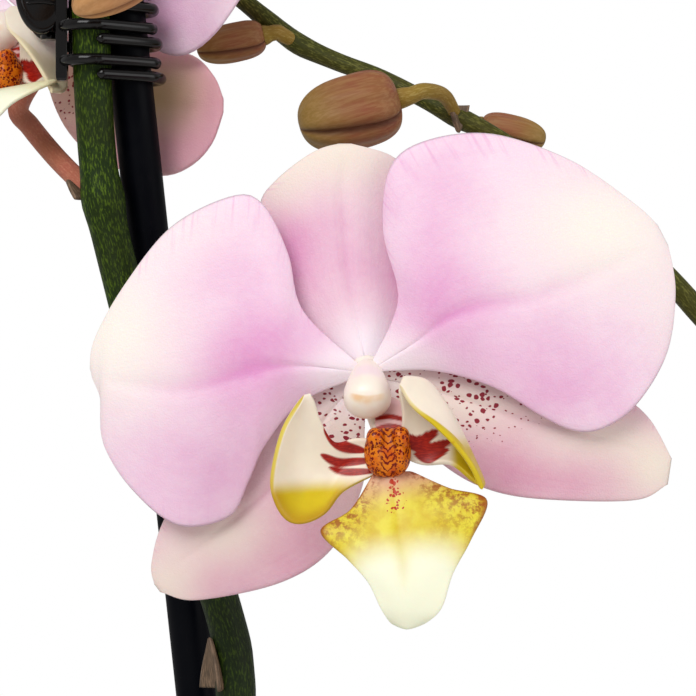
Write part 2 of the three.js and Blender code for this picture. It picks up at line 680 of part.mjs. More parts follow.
function stakeGeometry(swell) {
  // A straight rod with a bevelled top, leaning from its foot.
  const foot = vector(stakeAt(STAKE.foot));
  const lean = vector(stakeAt(STAKE.top)).sub(foot);
  const length = lean.length();
  const radius = STAKE.radius + swell;
  const profile = [[0, -swell], [radius, -swell], [radius, length - 1.2], [radius - 1.2, length], [0, length]];
  const geometry = new THREE.LatheGeometry(profile.map(([r, y]) => new THREE.Vector2(r, y)), 14);
  geometry.applyQuaternion(new THREE.Quaternion().setFromUnitVectors(new THREE.Vector3(0, 1, 0), lean.normalize()));
  return geometry.translate(...foot.toArray());
}

function turned(profile) {
  const geometry = new THREE.LatheGeometry(profile.map(([r, z]) => new THREE.Vector2(r, z)), POT_SEGMENTS);
  geometry.rotateX(Math.PI / 2);
  return geometry;
}

function potInnerRadius(z) {
  return THREE.MathUtils.mapLinear(z, POT_FLOOR, POT_HEIGHT, POT_FOOT_RADIUS - POT_WALL, POT_TOP_RADIUS - POT_WALL);
}

function potGeometry() {
  const rim = 1.5;
  return turned([
    [0, 0], [POT_FOOT_RADIUS - 2, 0], [POT_FOOT_RADIUS, 2], [POT_TOP_RADIUS - 1.5, POT_HEIGHT - 12],
    [POT_TOP_RADIUS, POT_HEIGHT - 10], [POT_TOP_RADIUS, POT_HEIGHT - rim], [POT_TOP_RADIUS - rim, POT_HEIGHT],
    [POT_TOP_RADIUS - POT_WALL + rim, POT_HEIGHT], [potInnerRadius(POT_HEIGHT - 4), POT_HEIGHT - 4],
    [potInnerRadius(POT_FLOOR), POT_FLOOR], [0, POT_FLOOR],
  ]);
}

function seededRandom(seed) {
  // A small repeatable generator, so that the chips lie alike each time.
  let state = seed;
  return () => {
    state = (state * 1664525 + 1013904223) % 4294967296;
    return state / 4294967296;
  };
}

function chipGeometry(random, number) {
  // One chip of bark on a sunflower spiral, tilted at random.
  const distance = CHIP_REACH * Math.sqrt((number + 0.5) / CHIP_COUNT);
  const angle = number * GOLDEN_ANGLE;
  const { smallest, size, height, lift } = CHIP_VARIETY;
  const scale = smallest + size * random();
  const geometry = new THREE.BoxGeometry(
    CHIP_SIZE.length * scale, CHIP_SIZE.width * scale, CHIP_SIZE.height * (smallest + height * random()),
  );
  geometry.rotateX(CHIP_TILT * (random() - 0.5));
  geometry.rotateY(CHIP_TILT * (random() - 0.5));
  geometry.rotateZ(Math.PI * random());
  const level = THREE.MathUtils.mapLinear(distance, 0, CHIP_REACH, BARK_MIDDLE_HEIGHT, BARK_EDGE_HEIGHT + 1);
  geometry.translate(distance * Math.cos(angle), distance * Math.sin(angle), level + lift * random());
  return geometry;
}

function barkGeometry() {
  const bed = turned([
    [0, POT_FLOOR + CLEARANCE], [potInnerRadius(POT_FLOOR) - CLEARANCE, POT_FLOOR + CLEARANCE],
    [potInnerRadius(BARK_EDGE_HEIGHT) - CLEARANCE, BARK_EDGE_HEIGHT], [0, BARK_MIDDLE_HEIGHT],
  ]);
  const random = seededRandom(7);
  const chips = Array.from({ length: CHIP_COUNT }, (unused, number) => chipGeometry(random, number));
  const holes = [
    cylinderGeometry(CROWN.x, CROWN.y, CROWN.foot - CLEARANCE, POT_HEIGHT, CROWN.radius + CLEARANCE, 24),
    stakeGeometry(CLEARANCE),
    ...ROOTS.map((root) => rootGeometry(root, CLEARANCE)),
  ];
  const room = turned([
    [0, POT_FLOOR + CLEARANCE], [potInnerRadius(POT_FLOOR) - CLEARANCE, POT_FLOOR + CLEARANCE],
    [potInnerRadius(POT_HEIGHT) - CLEARANCE, POT_HEIGHT], [0, POT_HEIGHT],
  ]);
  const filling = joined([bed, ...chips]).intersect(toSolid(room));
  return toGeometry(largestPiece(cutBy(filling, holes)));
}

// Claw clip that holds spike A to the stake. Its fingers follow both stems at each height.

const CLIP = {
  hinge: [-38.8, -0.4],
  pinRadius: 0.8,
  knuckleRadius: 1.9,
  fingerRadius: 0.95,
  room: 0.45,
  bottom: 408.6,
  top: 418.8,
  front: { side: 1, foot: 400.4, fingers: [403.6, 409.2, 414.8], knuckles: [[412, 415.4]], sweep: [215, 345] },
  rear: {
    side: -1, foot: 403.9, fingers: [401.3, 406.9, 412.5], knuckles: [[408.6, 411.6], [415.8, 418.8]],
    sweep: [122, -75],
  },
  spine: { from: 1.4, to: 3.3, near: 2.7, far: 5.2 },
  web: { from: -0.6, to: 2.4, near: 0.9, far: 4 },
  paddle: { width: 8.6, height: 15, thickness: 1.6, middle: 415.4, inset: 1, away: 4.6, splay: 16 },
};

const spikeACurve = curveThrough(SPIKE_A_PATH);

function spikeAAt(z) {
  // The place of spike A's middle at a height above the bend near its foot.
  let low = 0.2;
  let high = 0.8;
  for (let i = 0; i < 30; i += 1) {
    const s = (low + high) / 2;
    if (spikeACurve.getPoint(s).z < z) {
      low = s;
    } else {
      high = s;
    }
  }
  return spikeACurve.getPoint(low);
}

function aroundStems(z, degrees) {
  // A point that lies off both stems, in the given compass direction from whichever reaches further.
  const angle = THREE.MathUtils.degToRad(degrees);
  const direction = new THREE.Vector3(Math.cos(angle), Math.sin(angle), 0);
  const stems = [[spikeAAt(z).setZ(z), SPIKE_RADIUS], [vector(stakeAt(z)), STAKE.radius]];
  const reaches = stems.map(([middle, radius]) => middle.dot(direction) + radius);
  const [middle, radius] = reaches[0] > reaches[1] ? stems[0] : stems[1];
  return middle.addScaledVector(direction, radius + CLIP.fingerRadius + CLIP.room).toArray();
}

function fingerGeometry(z, start, [fromDegrees, toDegrees]) {
  const count = 9;
  const path = [start];
  for (let i = 0; i <= count; i += 1) {
    path.push(aroundStems(z, THREE.MathUtils.lerp(fromDegrees, toDegrees, i / count)));
  }
  return tubeGeometry(path, (s) => CLIP.fingerRadius - (s > 0.97 ? 0.35 : 0), 13, 5);
}

function paddleGeometry(side) {
  // An oval finger plate, splayed away from the other jaw's plate.
  const { width, height, thickness, middle, inset, away, splay } = CLIP.paddle;
  const oval = new THREE.Shape();
  oval.absellipse(0, 0, width / 2, height / 2, 0, 2 * Math.PI);
  const geometry = new THREE.ExtrudeGeometry(oval, { depth: thickness, bevelEnabled: false, curveSegments: 9 });
  geometry.translate(0, 0, -thickness / 2);
  geometry.rotateX(Math.PI / 2);
  geometry.rotateZ(side * THREE.MathUtils.degToRad(splay));
  geometry.translate(CLIP.hinge[0] - inset, CLIP.hinge[1] - side * away, middle);
  return geometry;
}

function jawGeometry({ side, foot, fingers, knuckles, sweep }) {
  // side is 1 for the front jaw and -1 for the rear one. A finger below the spine's foot starts just above it.
  const [hingeX, hingeY] = CLIP.hinge;
  const { spine, web } = CLIP;
  const apart = ({ near, far }) => [hingeY - side * near, hingeY - side * far].sort((a, b) => a - b);
  const spineY = apart(spine);
  const webY = apart(web);
  const highest = Math.max(fingers[2] + 1, knuckles[knuckles.length - 1][1]);
  const parts = [
    boxGeometry([hingeX + spine.from, spineY[0], foot], [hingeX + spine.to, spineY[1], highest]),
    paddleGeometry(side),
  ];
  knuckles.forEach(([bottom, top]) => {
    parts.push(cylinderGeometry(hingeX, hingeY, bottom, top, CLIP.knuckleRadius, 12));
    parts.push(boxGeometry([hingeX + web.from, webY[0], bottom], [hingeX + web.to, webY[1], top]));
  });
  fingers.forEach((z) => {
    const start = [hingeX + (spine.from + spine.to) / 2, (spineY[0] + spineY[1]) / 2, Math.max(z, foot + 1)];
    parts.push(fingerGeometry(z, start, sweep));
  });
  const bore = cylinderGeometry(hingeX, hingeY, CLIP.bottom - 9, CLIP.top + 9, CLIP.pinRadius + CLEARANCE, 12);
  return toGeometry(cutBy(joined(parts), [bore]));
}

function pinGeometry() {
  const [hingeX, hingeY] = CLIP.hinge;
  const head = 0.8;
  const low = CLIP.bottom - CLEARANCE;
  const high = CLIP.top + CLEARANCE;
  return toGeometry(joined([
    cylinderGeometry(hingeX, hingeY, low, high, CLIP.pinRadius, 12),
    cylinderGeometry(hingeX, hingeY, low - head, low, CLIP.knuckleRadius - 0.3, 12),
    cylinderGeometry(hingeX, hingeY, high, high + head, CLIP.knuckleRadius - 0.3, 12),
  ]));
}

// The whole object

const orchid = new THREE.Group();
orchid.name = 'potted_moth_orchid';

orchid.add(piece('pot', potGeometry(), potFinish));
orchid.add(piece('bark', barkGeometry(), barkFinish));
orchid.add(piece('crown', crownGeometry(), leafFinish));
LEAVES.forEach((leaf, i) => orchid.add(piece(`leaf_${i + 1}`, leafGeometry(leaf), leafFinish)));
ROOTS.forEach((root, i) => orchid.add(piece(`root_${i + 1}`, rootGeometry(root, 0), rootFinish)));
orchid.add(piece('stake', stakeGeometry(0), stakeFinish));
const spikeA = spikeGeometry(SPIKE_A_PATH, SPIKE_A_RADII, BLOOM_STALKS_A, BUDS_A, BRACTS_A);
const spikeB = spikeGeometry(SPIKE_B_PATH, SPIKE_B_RADII, BLOOM_STALKS_B, BUDS_B, BRACTS_B);
orchid.add(piece('spike_a', spikeA, spikeFinish));
orchid.add(piece('spike_b', spikeB, spikeFinish));
BLOOMS.forEach((bloom, i) => orchid.add(makeBloom(bloom, i + 1)));
BUDS_A.forEach((bud, i) => orchid.add(piece(`bud_a${i + 1}`, budGeometry(bud, BUD_BLUNTNESS.a), budFinish)));
BUDS_B.forEach((bud, i) => orchid.add(piece(`bud_b${i + 1}`, budGeometry(bud, BUD_BLUNTNESS.b), budFinish)));
orchid.add(piece('clip_front_jaw', jawGeometry(CLIP.front), clipFinish));
orchid.add(piece('clip_rear_jaw', jawGeometry(CLIP.rear), clipFinish));
orchid.add(piece('clip_pin', pinGeometry(), clipFinish));

export default orchid;
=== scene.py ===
# %% [markdown]
# # A potted moth orchid, dressed in Blender
#
# The plant is already there as plain solids of the right size: petals, spikes, leaves, pot. This lesson
# keeps them as a fixed frame, and puts a finer surface in the place of each one. A plant can be sculpted,
# scanned or grown from curves. Here each piece is a formula on a grid, because a formula can be read,
# changed and repeated for every bloom.

# %% Load the frame
import math

import bpy
import numpy as np
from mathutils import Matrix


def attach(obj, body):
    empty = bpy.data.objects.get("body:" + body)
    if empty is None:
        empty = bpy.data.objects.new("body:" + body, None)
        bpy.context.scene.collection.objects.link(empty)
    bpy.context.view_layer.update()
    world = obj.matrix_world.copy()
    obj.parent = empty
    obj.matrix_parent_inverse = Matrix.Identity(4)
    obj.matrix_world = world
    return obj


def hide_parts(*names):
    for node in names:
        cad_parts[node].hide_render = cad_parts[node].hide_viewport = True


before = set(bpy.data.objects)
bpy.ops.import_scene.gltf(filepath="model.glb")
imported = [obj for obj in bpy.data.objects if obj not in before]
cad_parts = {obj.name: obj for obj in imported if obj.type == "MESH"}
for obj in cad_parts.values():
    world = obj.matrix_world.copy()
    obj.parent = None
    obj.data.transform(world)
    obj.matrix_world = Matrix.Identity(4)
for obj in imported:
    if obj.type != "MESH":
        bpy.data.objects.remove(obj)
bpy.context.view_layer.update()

# %% [markdown]
# ## From a grid of points to a closed body
#
# Petals, stems and buds all bend smoothly, so each is worked out as whole numpy arrays. A body is kept as
# a dictionary: its points in millimetres, its faces, and two coordinates of its own that the materials
# read later. "own" is the place on the straightened piece in millimetres, and "share" runs from 0 to 1
# along and across it. A pattern that reads them stays on the piece, whichever way the bloom is turned.

# %% Curves
MM = 0.001
FULL_TURN = 2 * np.pi
CURVE_SAMPLES = 600


def unit(vectors):
    """Vectors divided by their lengths."""
    return vectors / np.maximum(np.linalg.norm(vectors, axis=-1, keepdims=True), 1e-9)


def stacked(*parts):
    """Grids and numbers brought to one shape and set side by side, as the coordinates of points."""
    return np.stack(np.broadcast_arrays(*parts), axis=-1)


def smooth(value, low, high):
    """0 below low, 1 above high, and 3x^2 - 2x^3 between them. low may lie above high."""
    x = np.clip((value - low) / (high - low), 0, 1)
    return x * x * (3 - 2 * x)


def bell(distance, reach):
    """exp(-(distance / reach)^2), which is 1 in the middle and next to nothing two reaches away."""
    return np.exp(-((distance / reach) ** 2))


def curve(points, u):
    """A Catmull-Rom curve: each stretch is the cubic whose slopes are half the step between neighbours."""
    points = np.asarray(points, float)
    padded = np.concatenate([[2 * points[0] - points[1]], points, [2 * points[-1] - points[-2]]])
    place = np.clip(u, 0, 1) * (len(points) - 1)
    i = np.minimum(place.astype(int), len(points) - 2)
    w = (place - i).reshape(place.shape + (1,) * (points.ndim - 1))
    p0, p1, p2, p3 = (padded[i + k] for k in range(4))
    bend = 2 * p0 - 5 * p1 + 4 * p2 - p3
    twist = 3 * p1 - p0 - 3 * p2 + p3
    return 0.5 * (2 * p1 + (p2 - p0) * w + bend * w**2 + twist * w**3)


def travelled(line):
    """The length of a line up to each of its points."""
    return np.append(0, np.cumsum(np.linalg.norm(np.diff(line, axis=0), axis=1)))


def by_length(points, s):
    """The same curve, with s as the share of its length that is travelled."""
    u = np.linspace(0, 1, CURVE_SAMPLES)
    length = travelled(curve(points, u))
    return curve(points, np.interp(s * length[-1], length, u))


def eased(count, crowd=0.5):
    """count + 1 numbers from 0 to 1, crowded towards both ends: a line mixed with half a cosine wave."""
    x = np.linspace(0, 1, count + 1)
    return (1 - crowd) * x + crowd * (0.5 - 0.5 * np.cos(np.pi * x))


def circle(sides):
    """Angles at equal steps all the way round."""
    return np.linspace(0, FULL_TURN, sides, endpoint=False)


# %% Closed bodies
def body(points, quads, triangles, own, share, paint=0, **marks):
    """A closed body. Its faces are turned round if its signed volume, a sum of a . (b x c), is negative."""
    halves = [quads[:, [0, 1, 2]], quads[:, [0, 2, 3]], triangles]
    corners = points[np.concatenate(halves)]
    if np.sum(corners[:, 0] * np.cross(corners[:, 1], corners[:, 2])) < 0:
        quads, triangles = quads[:, ::-1], triangles[:, ::-1]
    return dict(points=points, quads=quads, triangles=triangles, own=own, share=share, paint=paint,
                marks=marks)


def ring_body(rings, first, last, own, share, paint=0, **marks):
    """Rings of points, shape (rows, sides, 3), sewn into a skin. A fan to a point closes each end."""
    rows, sides = rings.shape[:2]
    ring = np.arange(rows * sides).reshape(rows, sides)
    ahead = np.roll(ring, -1, axis=1)
    quads = stacked(ring[:-1], ahead[:-1], ahead[1:], ring[1:]).reshape(-1, 4)
    start = stacked(ahead[0], ring[0], rows * sides)
    end = stacked(ring[-1], ahead[-1], rows * sides + 1)
    flat = [np.concatenate([grid.reshape(-1, 3), grid[:1].mean(1), grid[-1:].mean(1)])
            for grid in (own, share)]
    points = np.concatenate([rings.reshape(-1, 3), [first], [last]])
    marks = {name: np.append(mark.ravel(), [mark[0].mean(), mark[-1].mean()]) for name, mark in marks.items()}
    return body(points, quads, np.concatenate([start, end]), *flat, paint, **marks)


def tube(path, radius, rows, sides, paint=0, spread=0.0):
    """A round tube: at each step along the path, a ring of radius(s) square to the path's direction."""
    s = eased(rows, spread)
    middle = by_length(path, s)
    ahead = unit(np.gradient(middle, axis=0))
    least = np.linalg.svd(ahead)[2][-1]
    side = unit(np.cross(ahead, least))
    up = np.cross(side, ahead)
    angle = circle(sides)
    r = radius(s)[:, None]
    x, y = r * np.cos(angle), r * np.sin(angle)
    rings = middle[:, None] + side[:, None] * x[..., None] + up[:, None] * y[..., None]
    own = stacked(x, y, travelled(middle)[:, None])
    return ring_body(rings, middle[0], middle[-1], own, stacked(s[:, None], angle / FULL_TURN, 0), paint)


def turned(profile, sides):
    """A profile of (radius, height) pairs turned round the Z axis. Its first and last radius are 0."""
    profile = np.asarray(profile, float)
    r, z = profile[1:-1, 0][:, None], profile[1:-1, 1][:, None]
    angle = circle(sides)
    rings = stacked(r * np.cos(angle), r * np.sin(angle), z)
    share = stacked(np.linspace(0, 1, len(r))[:, None], angle / FULL_TURN, 0)
    return ring_body(rings, [0, 0, profile[0, 1]], [0, 0, profile[-1, 1]], rings, share)


def rounded(profile, radius, steps=5):
    """Each inner corner of a profile becomes a small quadratic curve. It starts and ends radius away from
    the corner, or at most 0.45 of the side's length."""
    profile = np.asarray(profile, float)
    w = np.linspace(0, 1, steps + 1)[:, None]
    parts = [profile[:1]]
    for before, corner, after in zip(profile[:-2], profile[1:-1], profile[2:]):
        reach = [min(radius, 0.45 * np.linalg.norm(side - corner)) for side in (before, after)]
        a = corner + reach[0] * unit(before - corner)
        b = corner + reach[1] * unit(after - corner)
        parts.append((1 - w) ** 2 * a + 2 * w * (1 - w) * corner + w**2 * b)
    return np.concatenate([*parts, profile[-1:]])


def blob(place, radii, power, rows, sides, paint=0, shape=None):
    """A ball with radii of its own. A power below 1 pulls it out towards the corners of its box."""
    polar = np.linspace(0, np.pi, rows + 2)[1:-1][:, None]
    angle = circle(sides)
    level, out, x, y = (np.sign(value) * np.abs(value) ** power
                        for value in (np.cos(polar), np.sin(polar), np.cos(angle), np.sin(angle)))
    cube = stacked(out * x, out * y, level)
    cube = shape(cube) if shape else cube
    rings = np.asarray(place) + cube * np.asarray(radii)
    ends = [np.asarray(place) + [0, 0, side * radii[2]] for side in (1, -1)]
    return ring_body(rings, *ends, rings, stacked(polar / np.pi, angle / FULL_TURN, 0), paint)


def sheet_body(middle, half, s, t, own, paint=0, **marks):
    """A thin body on both sides of a grid of points. Both faces share the points of the rim, so it is closed.
    share's third number is 1 on the face that looks along +Z before the piece is turned, and -1 behind."""
    normal = unit(np.cross(np.gradient(middle, axis=0), np.gradient(middle, axis=1)))
    if normal[..., 2].mean() < 0:
        normal = -normal
    rows, cols = middle.shape[:2]
    count, inner_count = rows * cols, (rows - 2) * (cols - 2)
    front = np.arange(count).reshape(rows, cols)
    back = front.copy()
    back[1:-1, 1:-1] = count + np.arange(inner_count).reshape(rows - 2, cols - 2)

    def both(ahead, behind):
        """A grid of values on the front, then the values on the back that lie inside the rim."""
        inside = behind[1:-1, 1:-1]
        return np.concatenate([ahead.reshape(count, -1), inside.reshape(inner_count, -1)])

    quads = [stacked(grid[:-1, :-1], grid[1:, :-1], grid[1:, 1:], grid[:-1, 1:]).reshape(-1, 4)
             for grid in (front, back)]
    points = both(middle + normal * half, middle - normal * half)
    share = both(stacked(s, t, 1.0), stacked(s, t, -1.0))
    marks = {name: both(mark, mark).ravel() for name, mark in marks.items()}
    return body(points, np.concatenate([quads[0], quads[1][:, ::-1]]), np.zeros((0, 3), int),
                both(own, own), share, paint, **marks)


def rim_shape(s, t, sharpness):
    """The share of the full thickness: 1 inside, rounded down to 0 at all four edges."""
    return np.sqrt(1 - np.abs(2 * s - 1) ** sharpness) * np.sqrt(1 - np.abs(2 * t - 1) ** sharpness)


def moved(shell, turn=np.eye(3), place=(0, 0, 0), size=1.0):
    """A body turned by a matrix, resized and moved. Its own coordinates stay as they are."""
    return {**shell, "points": shell["points"] @ turn.T * size + np.asarray(place)}


# %% Put bodies into the scene
made_triangles = []


def make_piece(name, shells, materials):
    """One mesh object in metres from several bodies, with their own coordinates and marks as attributes."""
    starts = np.cumsum([0] + [len(shell["points"]) for shell in shells])
    points = np.concatenate([shell["points"] for shell in shells])
    faces = []
    paints = []
    for start, shell in zip(starts, shells):
        for kind in ("quads", "triangles"):
            faces += (shell[kind] + start).tolist()
        paints += [shell["paint"]] * (len(shell["quads"]) + len(shell["triangles"]))
    mesh = bpy.data.meshes.new(name)
    mesh.from_pydata((points * MM).tolist(), [], faces)
    mesh.polygons.foreach_set("material_index", paints)
    mesh.shade_smooth()
    for label in ("own", "share"):
        layer = mesh.attributes.new(label, "FLOAT_VECTOR", "POINT")
        values = np.concatenate([shell[label] for shell in shells])
        layer.data.foreach_set("vector", values.astype(np.float32).ravel())
    for label in sorted({label for shell in shells for label in shell["marks"]}):
        layer = mesh.attributes.new(label, "FLOAT", "POINT")
        values = [shell["marks"].get(label, np.zeros(len(shell["points"]))) for shell in shells]
        layer.data.foreach_set("value", np.concatenate(values).astype(np.float32))
    for material in materials:
        mesh.materials.append(material)
    piece = bpy.data.objects.new(name, mesh)
    bpy.context.scene.collection.objects.link(piece)
    made_triangles.append(sum(2 * len(shell["quads"]) + len(shell["triangles"]) for shell in shells))
    return piece


def dress(node, shells, materials, rides="plant"):
    """A finer piece that stands for one solid of the frame and moves with its body."""
    piece = make_piece(node + "_fine", shells, materials)
    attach(piece, rides)
    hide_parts(node)
    return piece


# %% [markdown]
# ## Camera, floor and light
#
# The picture is taken from the height of the bloom, level, with a long lens from 40 cm away, so that the
# petals show hardly any perspective. The camera sees a white world behind the plant. If that world lit
# the plant at full strength, black plastic would look grey, so other rays see it dimmer. A large softbox
# high in front gives the petals their form, and a weaker one from the right lifts the shadows. The floor
# ends before the level view could reach it.

# %% Camera
IMAGE_SIDE = 696
PIXELS_PER_MM_AT_ONE_MM = 2620
SENSOR = 36.0
CAMERA_PLACE = (10, -430, 357)

camera_data = bpy.data.cameras.new("portrait")
camera_data.sensor_width = SENSOR
camera_data.lens = PIXELS_PER_MM_AT_ONE_MM * SENSOR / IMAGE_SIDE
camera_data.clip_start = 0.01
camera = bpy.data.objects.new("portrait", camera_data)
camera.location = np.array(CAMERA_PLACE) * MM
camera.rotation_euler = (math.pi / 2, 0, 0)
bpy.context.scene.collection.objects.link(camera)
bpy.context.scene.camera = camera
bpy.context.scene.view_settings.view_transform = "Standard"
print("lens:", round(camera_data.lens, 1), "mm")

# %% Light
SEEN_STRENGTH = 1.0
FILL_STRENGTH = 0.5
LIGHT_AIM = (10, 0, 330)
SOFTBOXES = dict(key=dict(place=(-500, -1000, 1200), power=13, side=0.8),
                 side=dict(place=(1100, -700, 500), power=4.5, side=0.9))


def softbox(name, place, power, side):
    """A square area light that faces the middle of the plant. place is in millimetres."""
    light = bpy.data.lights.new(name, "AREA")
    light.energy = power
    light.size = side
    lamp = bpy.data.objects.new(name, light)
    lamp.location = np.array(place) * MM
    aim = bpy.data.objects.new(name + "_aim", None)
    aim.location = np.array(LIGHT_AIM) * MM
    bpy.context.scene.collection.objects.link(aim)
    bpy.context.scene.collection.objects.link(lamp)
    track = lamp.constraints.new("TRACK_TO")
    track.target = aim
    track.track_axis = "TRACK_NEGATIVE_Z"
    track.up_axis = "UP_Y"


world = bpy.data.worlds.new("studio")
world.use_nodes = True
sky = world.node_tree
sky.nodes["Background"].inputs["Color"].default_value = (1, 1, 1, 1)
straight = sky.nodes.new("ShaderNodeLightPath").outputs["Is Camera Ray"]
brightness = sky.nodes.new("ShaderNodeMapRange")
sky.links.new(straight, brightness.inputs["Value"])
brightness.inputs["To Min"].default_value = FILL_STRENGTH
brightness.inputs["To Max"].default_value = SEEN_STRENGTH
sky.links.new(brightness.outputs["Result"], sky.nodes["Background"].inputs["Strength"])
bpy.context.scene.world = world
for name, values in SOFTBOXES.items():
    softbox(name, **values)
print("lights:", list(SOFTBOXES))

# %% [markdown]
# ## Building blocks for the finishes
#
# A living surface is never one colour. It has broad clouds of tone, streaks along the way it grew, and
# spots. The petals also get small painted highlights: glints mixed into the colour over tiny cells.
# Each of these is a node group with named inputs, so that petal, bud, leaf and stem can share it with
# values of their own. The shader itself stays in each material. A node's output is kept as a wire here,
# so that a sum or a product of two masks can be written as one.


# %% Node helpers
class Wire:
    """The output of a node. Adding, subtracting, multiplying or dividing it makes a Math node."""

    def __init__(self, socket):
        self.socket = socket
        self.tree = socket.id_data

    def __add__(self, other):
        return reckon("ADD", self, other)

    def __sub__(self, other):
        return reckon("SUBTRACT", self, other)

    def __mul__(self, other):
        return reckon("MULTIPLY", self, other)

    def __rtruediv__(self, other):
        return reckon("DIVIDE", other, self)

    def __abs__(self):
        return reckon("ABSOLUTE", self)

    def twin(self, output):
        """Another output of the same node."""
        return Wire(self.socket.node.outputs[output])


def add(tree, kind, inputs=None, output=0, **settings):
    """A new node's output. Among its inputs a wire is linked, and anything else is set as a value."""
    made = tree.nodes.new(kind)
    for key, value in settings.items():
        setattr(made, key, value)
    for key, value in (inputs or {}).items():
        if isinstance(value, Wire):
            tree.links.new(value.socket, made.inputs[key])
        else:
            made.inputs[key].default_value = value
    return Wire(made.outputs[output])


def reckon(operation, *values):
    """A sum on numbers, of which one at least is a wire."""
    tree = next(value.tree for value in values if isinstance(value, Wire))
    return add(tree, "ShaderNodeMath", dict(enumerate(values)), operation=operation)


def on_vector(operation, vector, by):
    """A sum on a vector. SCALE takes a number, and the others take a second vector."""
    key = "Scale" if operation == "SCALE" else 1
    return add(vector.tree, "ShaderNodeVectorMath", {0: vector, key: by}, operation=operation)


def mixed(factor, a, b):
    """The colour a where the factor is 0, and b where it is 1."""
    return add(factor.tree, "ShaderNodeMix", {0: factor, 6: a, 7: b}, 2, data_type="RGBA")


def ranged(value, low, high, start=0.0, end=1.0):
    """start below low and end above high, with a smooth step between them."""
    inputs = {"Value": value, "From Min": low, "From Max": high, "To Min": start, "To Max": end}
    return add(value.tree, "ShaderNodeMapRange", inputs, "Result", interpolation_type="SMOOTHSTEP")


def noise(vector, scale=1.0, detail=2.0, roughness=0.5):
    """Fractal noise about 0.5."""
    inputs = {"Vector": vector, "Scale": scale, "Detail": detail, "Roughness": roughness}
    return add(vector.tree, "ShaderNodeTexNoise", inputs, "Fac")


def parts_of(vector):
    """The three numbers of a vector."""
    first = add(vector.tree, "ShaderNodeSeparateXYZ", {0: vector})
    return first, first.twin(1), first.twin(2)


def own(tree, label="own"):
    """One of the two coordinates that a piece carries, own or share."""
    return add(tree, "ShaderNodeAttribute", output="Vector", attribute_name=label)


def mark(place, label):
    """One of a piece's marks, as a number, in the tree of its place."""
    return add(place.tree, "ShaderNodeAttribute", output="Fac", attribute_name=label)


def rgb(red, green, blue):
    """A colour given in the 0 to 255 steps of a screen, as the light that it stands for."""
    steps = np.array([red, green, blue]) / 255
    light = np.where(steps < 0.04045, steps / 12.92, ((steps + 0.055) / 1.055) ** 2.4)
    return (*light, 1.0)


# %% Node groups
def new_group(name, inputs, outputs):
    """A node group with named sockets, and its inputs as wires. Kinds are Float, Vector and Color."""
    group = bpy.data.node_groups.new(name, "ShaderNodeTree")
    for way, sockets in (("INPUT", inputs), ("OUTPUT", outputs)):
        for title, kind in sockets.items():
            group.interface.new_socket(title, in_out=way, socket_type="NodeSocket" + kind)
    given = group.nodes.new("NodeGroupInput").outputs
    return group, {title: Wire(given[title]) for title in inputs}


def close_group(group, values):
    """Links the group's outputs."""
    gives = group.nodes.new("NodeGroupOutput").inputs
    for title, value in values.items():
        group.links.new(value.socket, gives[title])
    return group


def effect(group, inputs, output):
    """A shared effect, in the tree of its first input."""
    tree = next(iter(inputs.values())).tree
    return add(tree, "ShaderNodeGroup", inputs, output, node_tree=group)


# %% Shared effects
def make_clouds():
    """Broad soft clouds of tone, from 0 to 1."""
    group, given = new_group("clouds", {"Vector": "Vector", "Size": "Float"}, {"Cloud": "Float"})
    vector = on_vector("SCALE", given["Vector"], 1.0 / given["Size"])
    return close_group(group, {"Cloud": ranged(noise(vector, 1.0, 3.0, 0.55), 0.3, 0.7)})


def make_streaks():
    """Short streaks: noise on a vector that has been squeezed across and drawn out along the growth."""
    inputs = {"Vector": "Vector", "Squeeze": "Vector", "Low": "Float", "High": "Float"}
    group, given = new_group("streaks", inputs, {"Streak": "Float", "Height": "Float"})
    fine = noise(on_vector("MULTIPLY", given["Vector"], given["Squeeze"]), 1.0, 3.0, 0.6)
    return close_group(group, {"Streak": ranged(fine, given["Low"], given["High"]), "Height": fine})


def make_spots():
    """Uneven round spots: the distance to the nearest seed of a cell pattern, cut off at its own size."""
    inputs = {"Vector": "Vector", "Pitch": "Float", "Size": "Float", "Wobble": "Float"}
    group, given = new_group("spots", inputs, {"Spot": "Float"})
    place = given["Vector"]
    bend = add(group, "ShaderNodeTexNoise", {"Vector": place, "Scale": 1.1, "Detail": 1.0}, "Color")
    push = on_vector("SCALE", on_vector("SUBTRACT", bend, (0.5, 0.5, 0.5)), given["Wobble"])
    vector = on_vector("SCALE", on_vector("ADD", place, push), 1.0 / given["Pitch"])
    cell_inputs = {"Vector": vector, "Scale": 1.0, "Randomness": 0.85}
    cells = add(group, "ShaderNodeTexVoronoi", cell_inputs, "Distance")
    chance = add(group, "ShaderNodeSeparateColor", {0: cells.twin("Color")})
    size = given["Size"] * ranged(chance, 0.0, 1.0, 0.55, 1.25)
    return close_group(group, {"Spot": ranged(size - cells, -0.03, 0.03)})


clouds, streaks, spots = make_clouds(), make_streaks(), make_spots()


def cloud_at(place, size):
    """Clouds of a size in millimetres."""
    return effect(clouds, {"Vector": place, "Size": size}, "Cloud")


def streaks_at(place, squeeze, low, high):
    """Streaks, and the relief that goes with them."""
    made = effect(streaks, {"Vector": place, "Squeeze": squeeze, "Low": low, "High": high}, "Streak")
    return made, made.twin("Height")


def spots_at(place, pitch, size, wobble):
    """Spots about a pitch apart, in millimetres. Their size is a share of the pitch."""
    return effect(spots, {"Vector": place, "Pitch": pitch, "Size": size, "Wobble": wobble}, "Spot")


# %% Petal skin
SKIN_WHITE = rgb(246, 234, 243)
# A painted highlight: near-white glints mixed into the skin over small cells.
SKIN_PAINTED_GLINT = (1.0, 0.97, 0.98, 1.0)


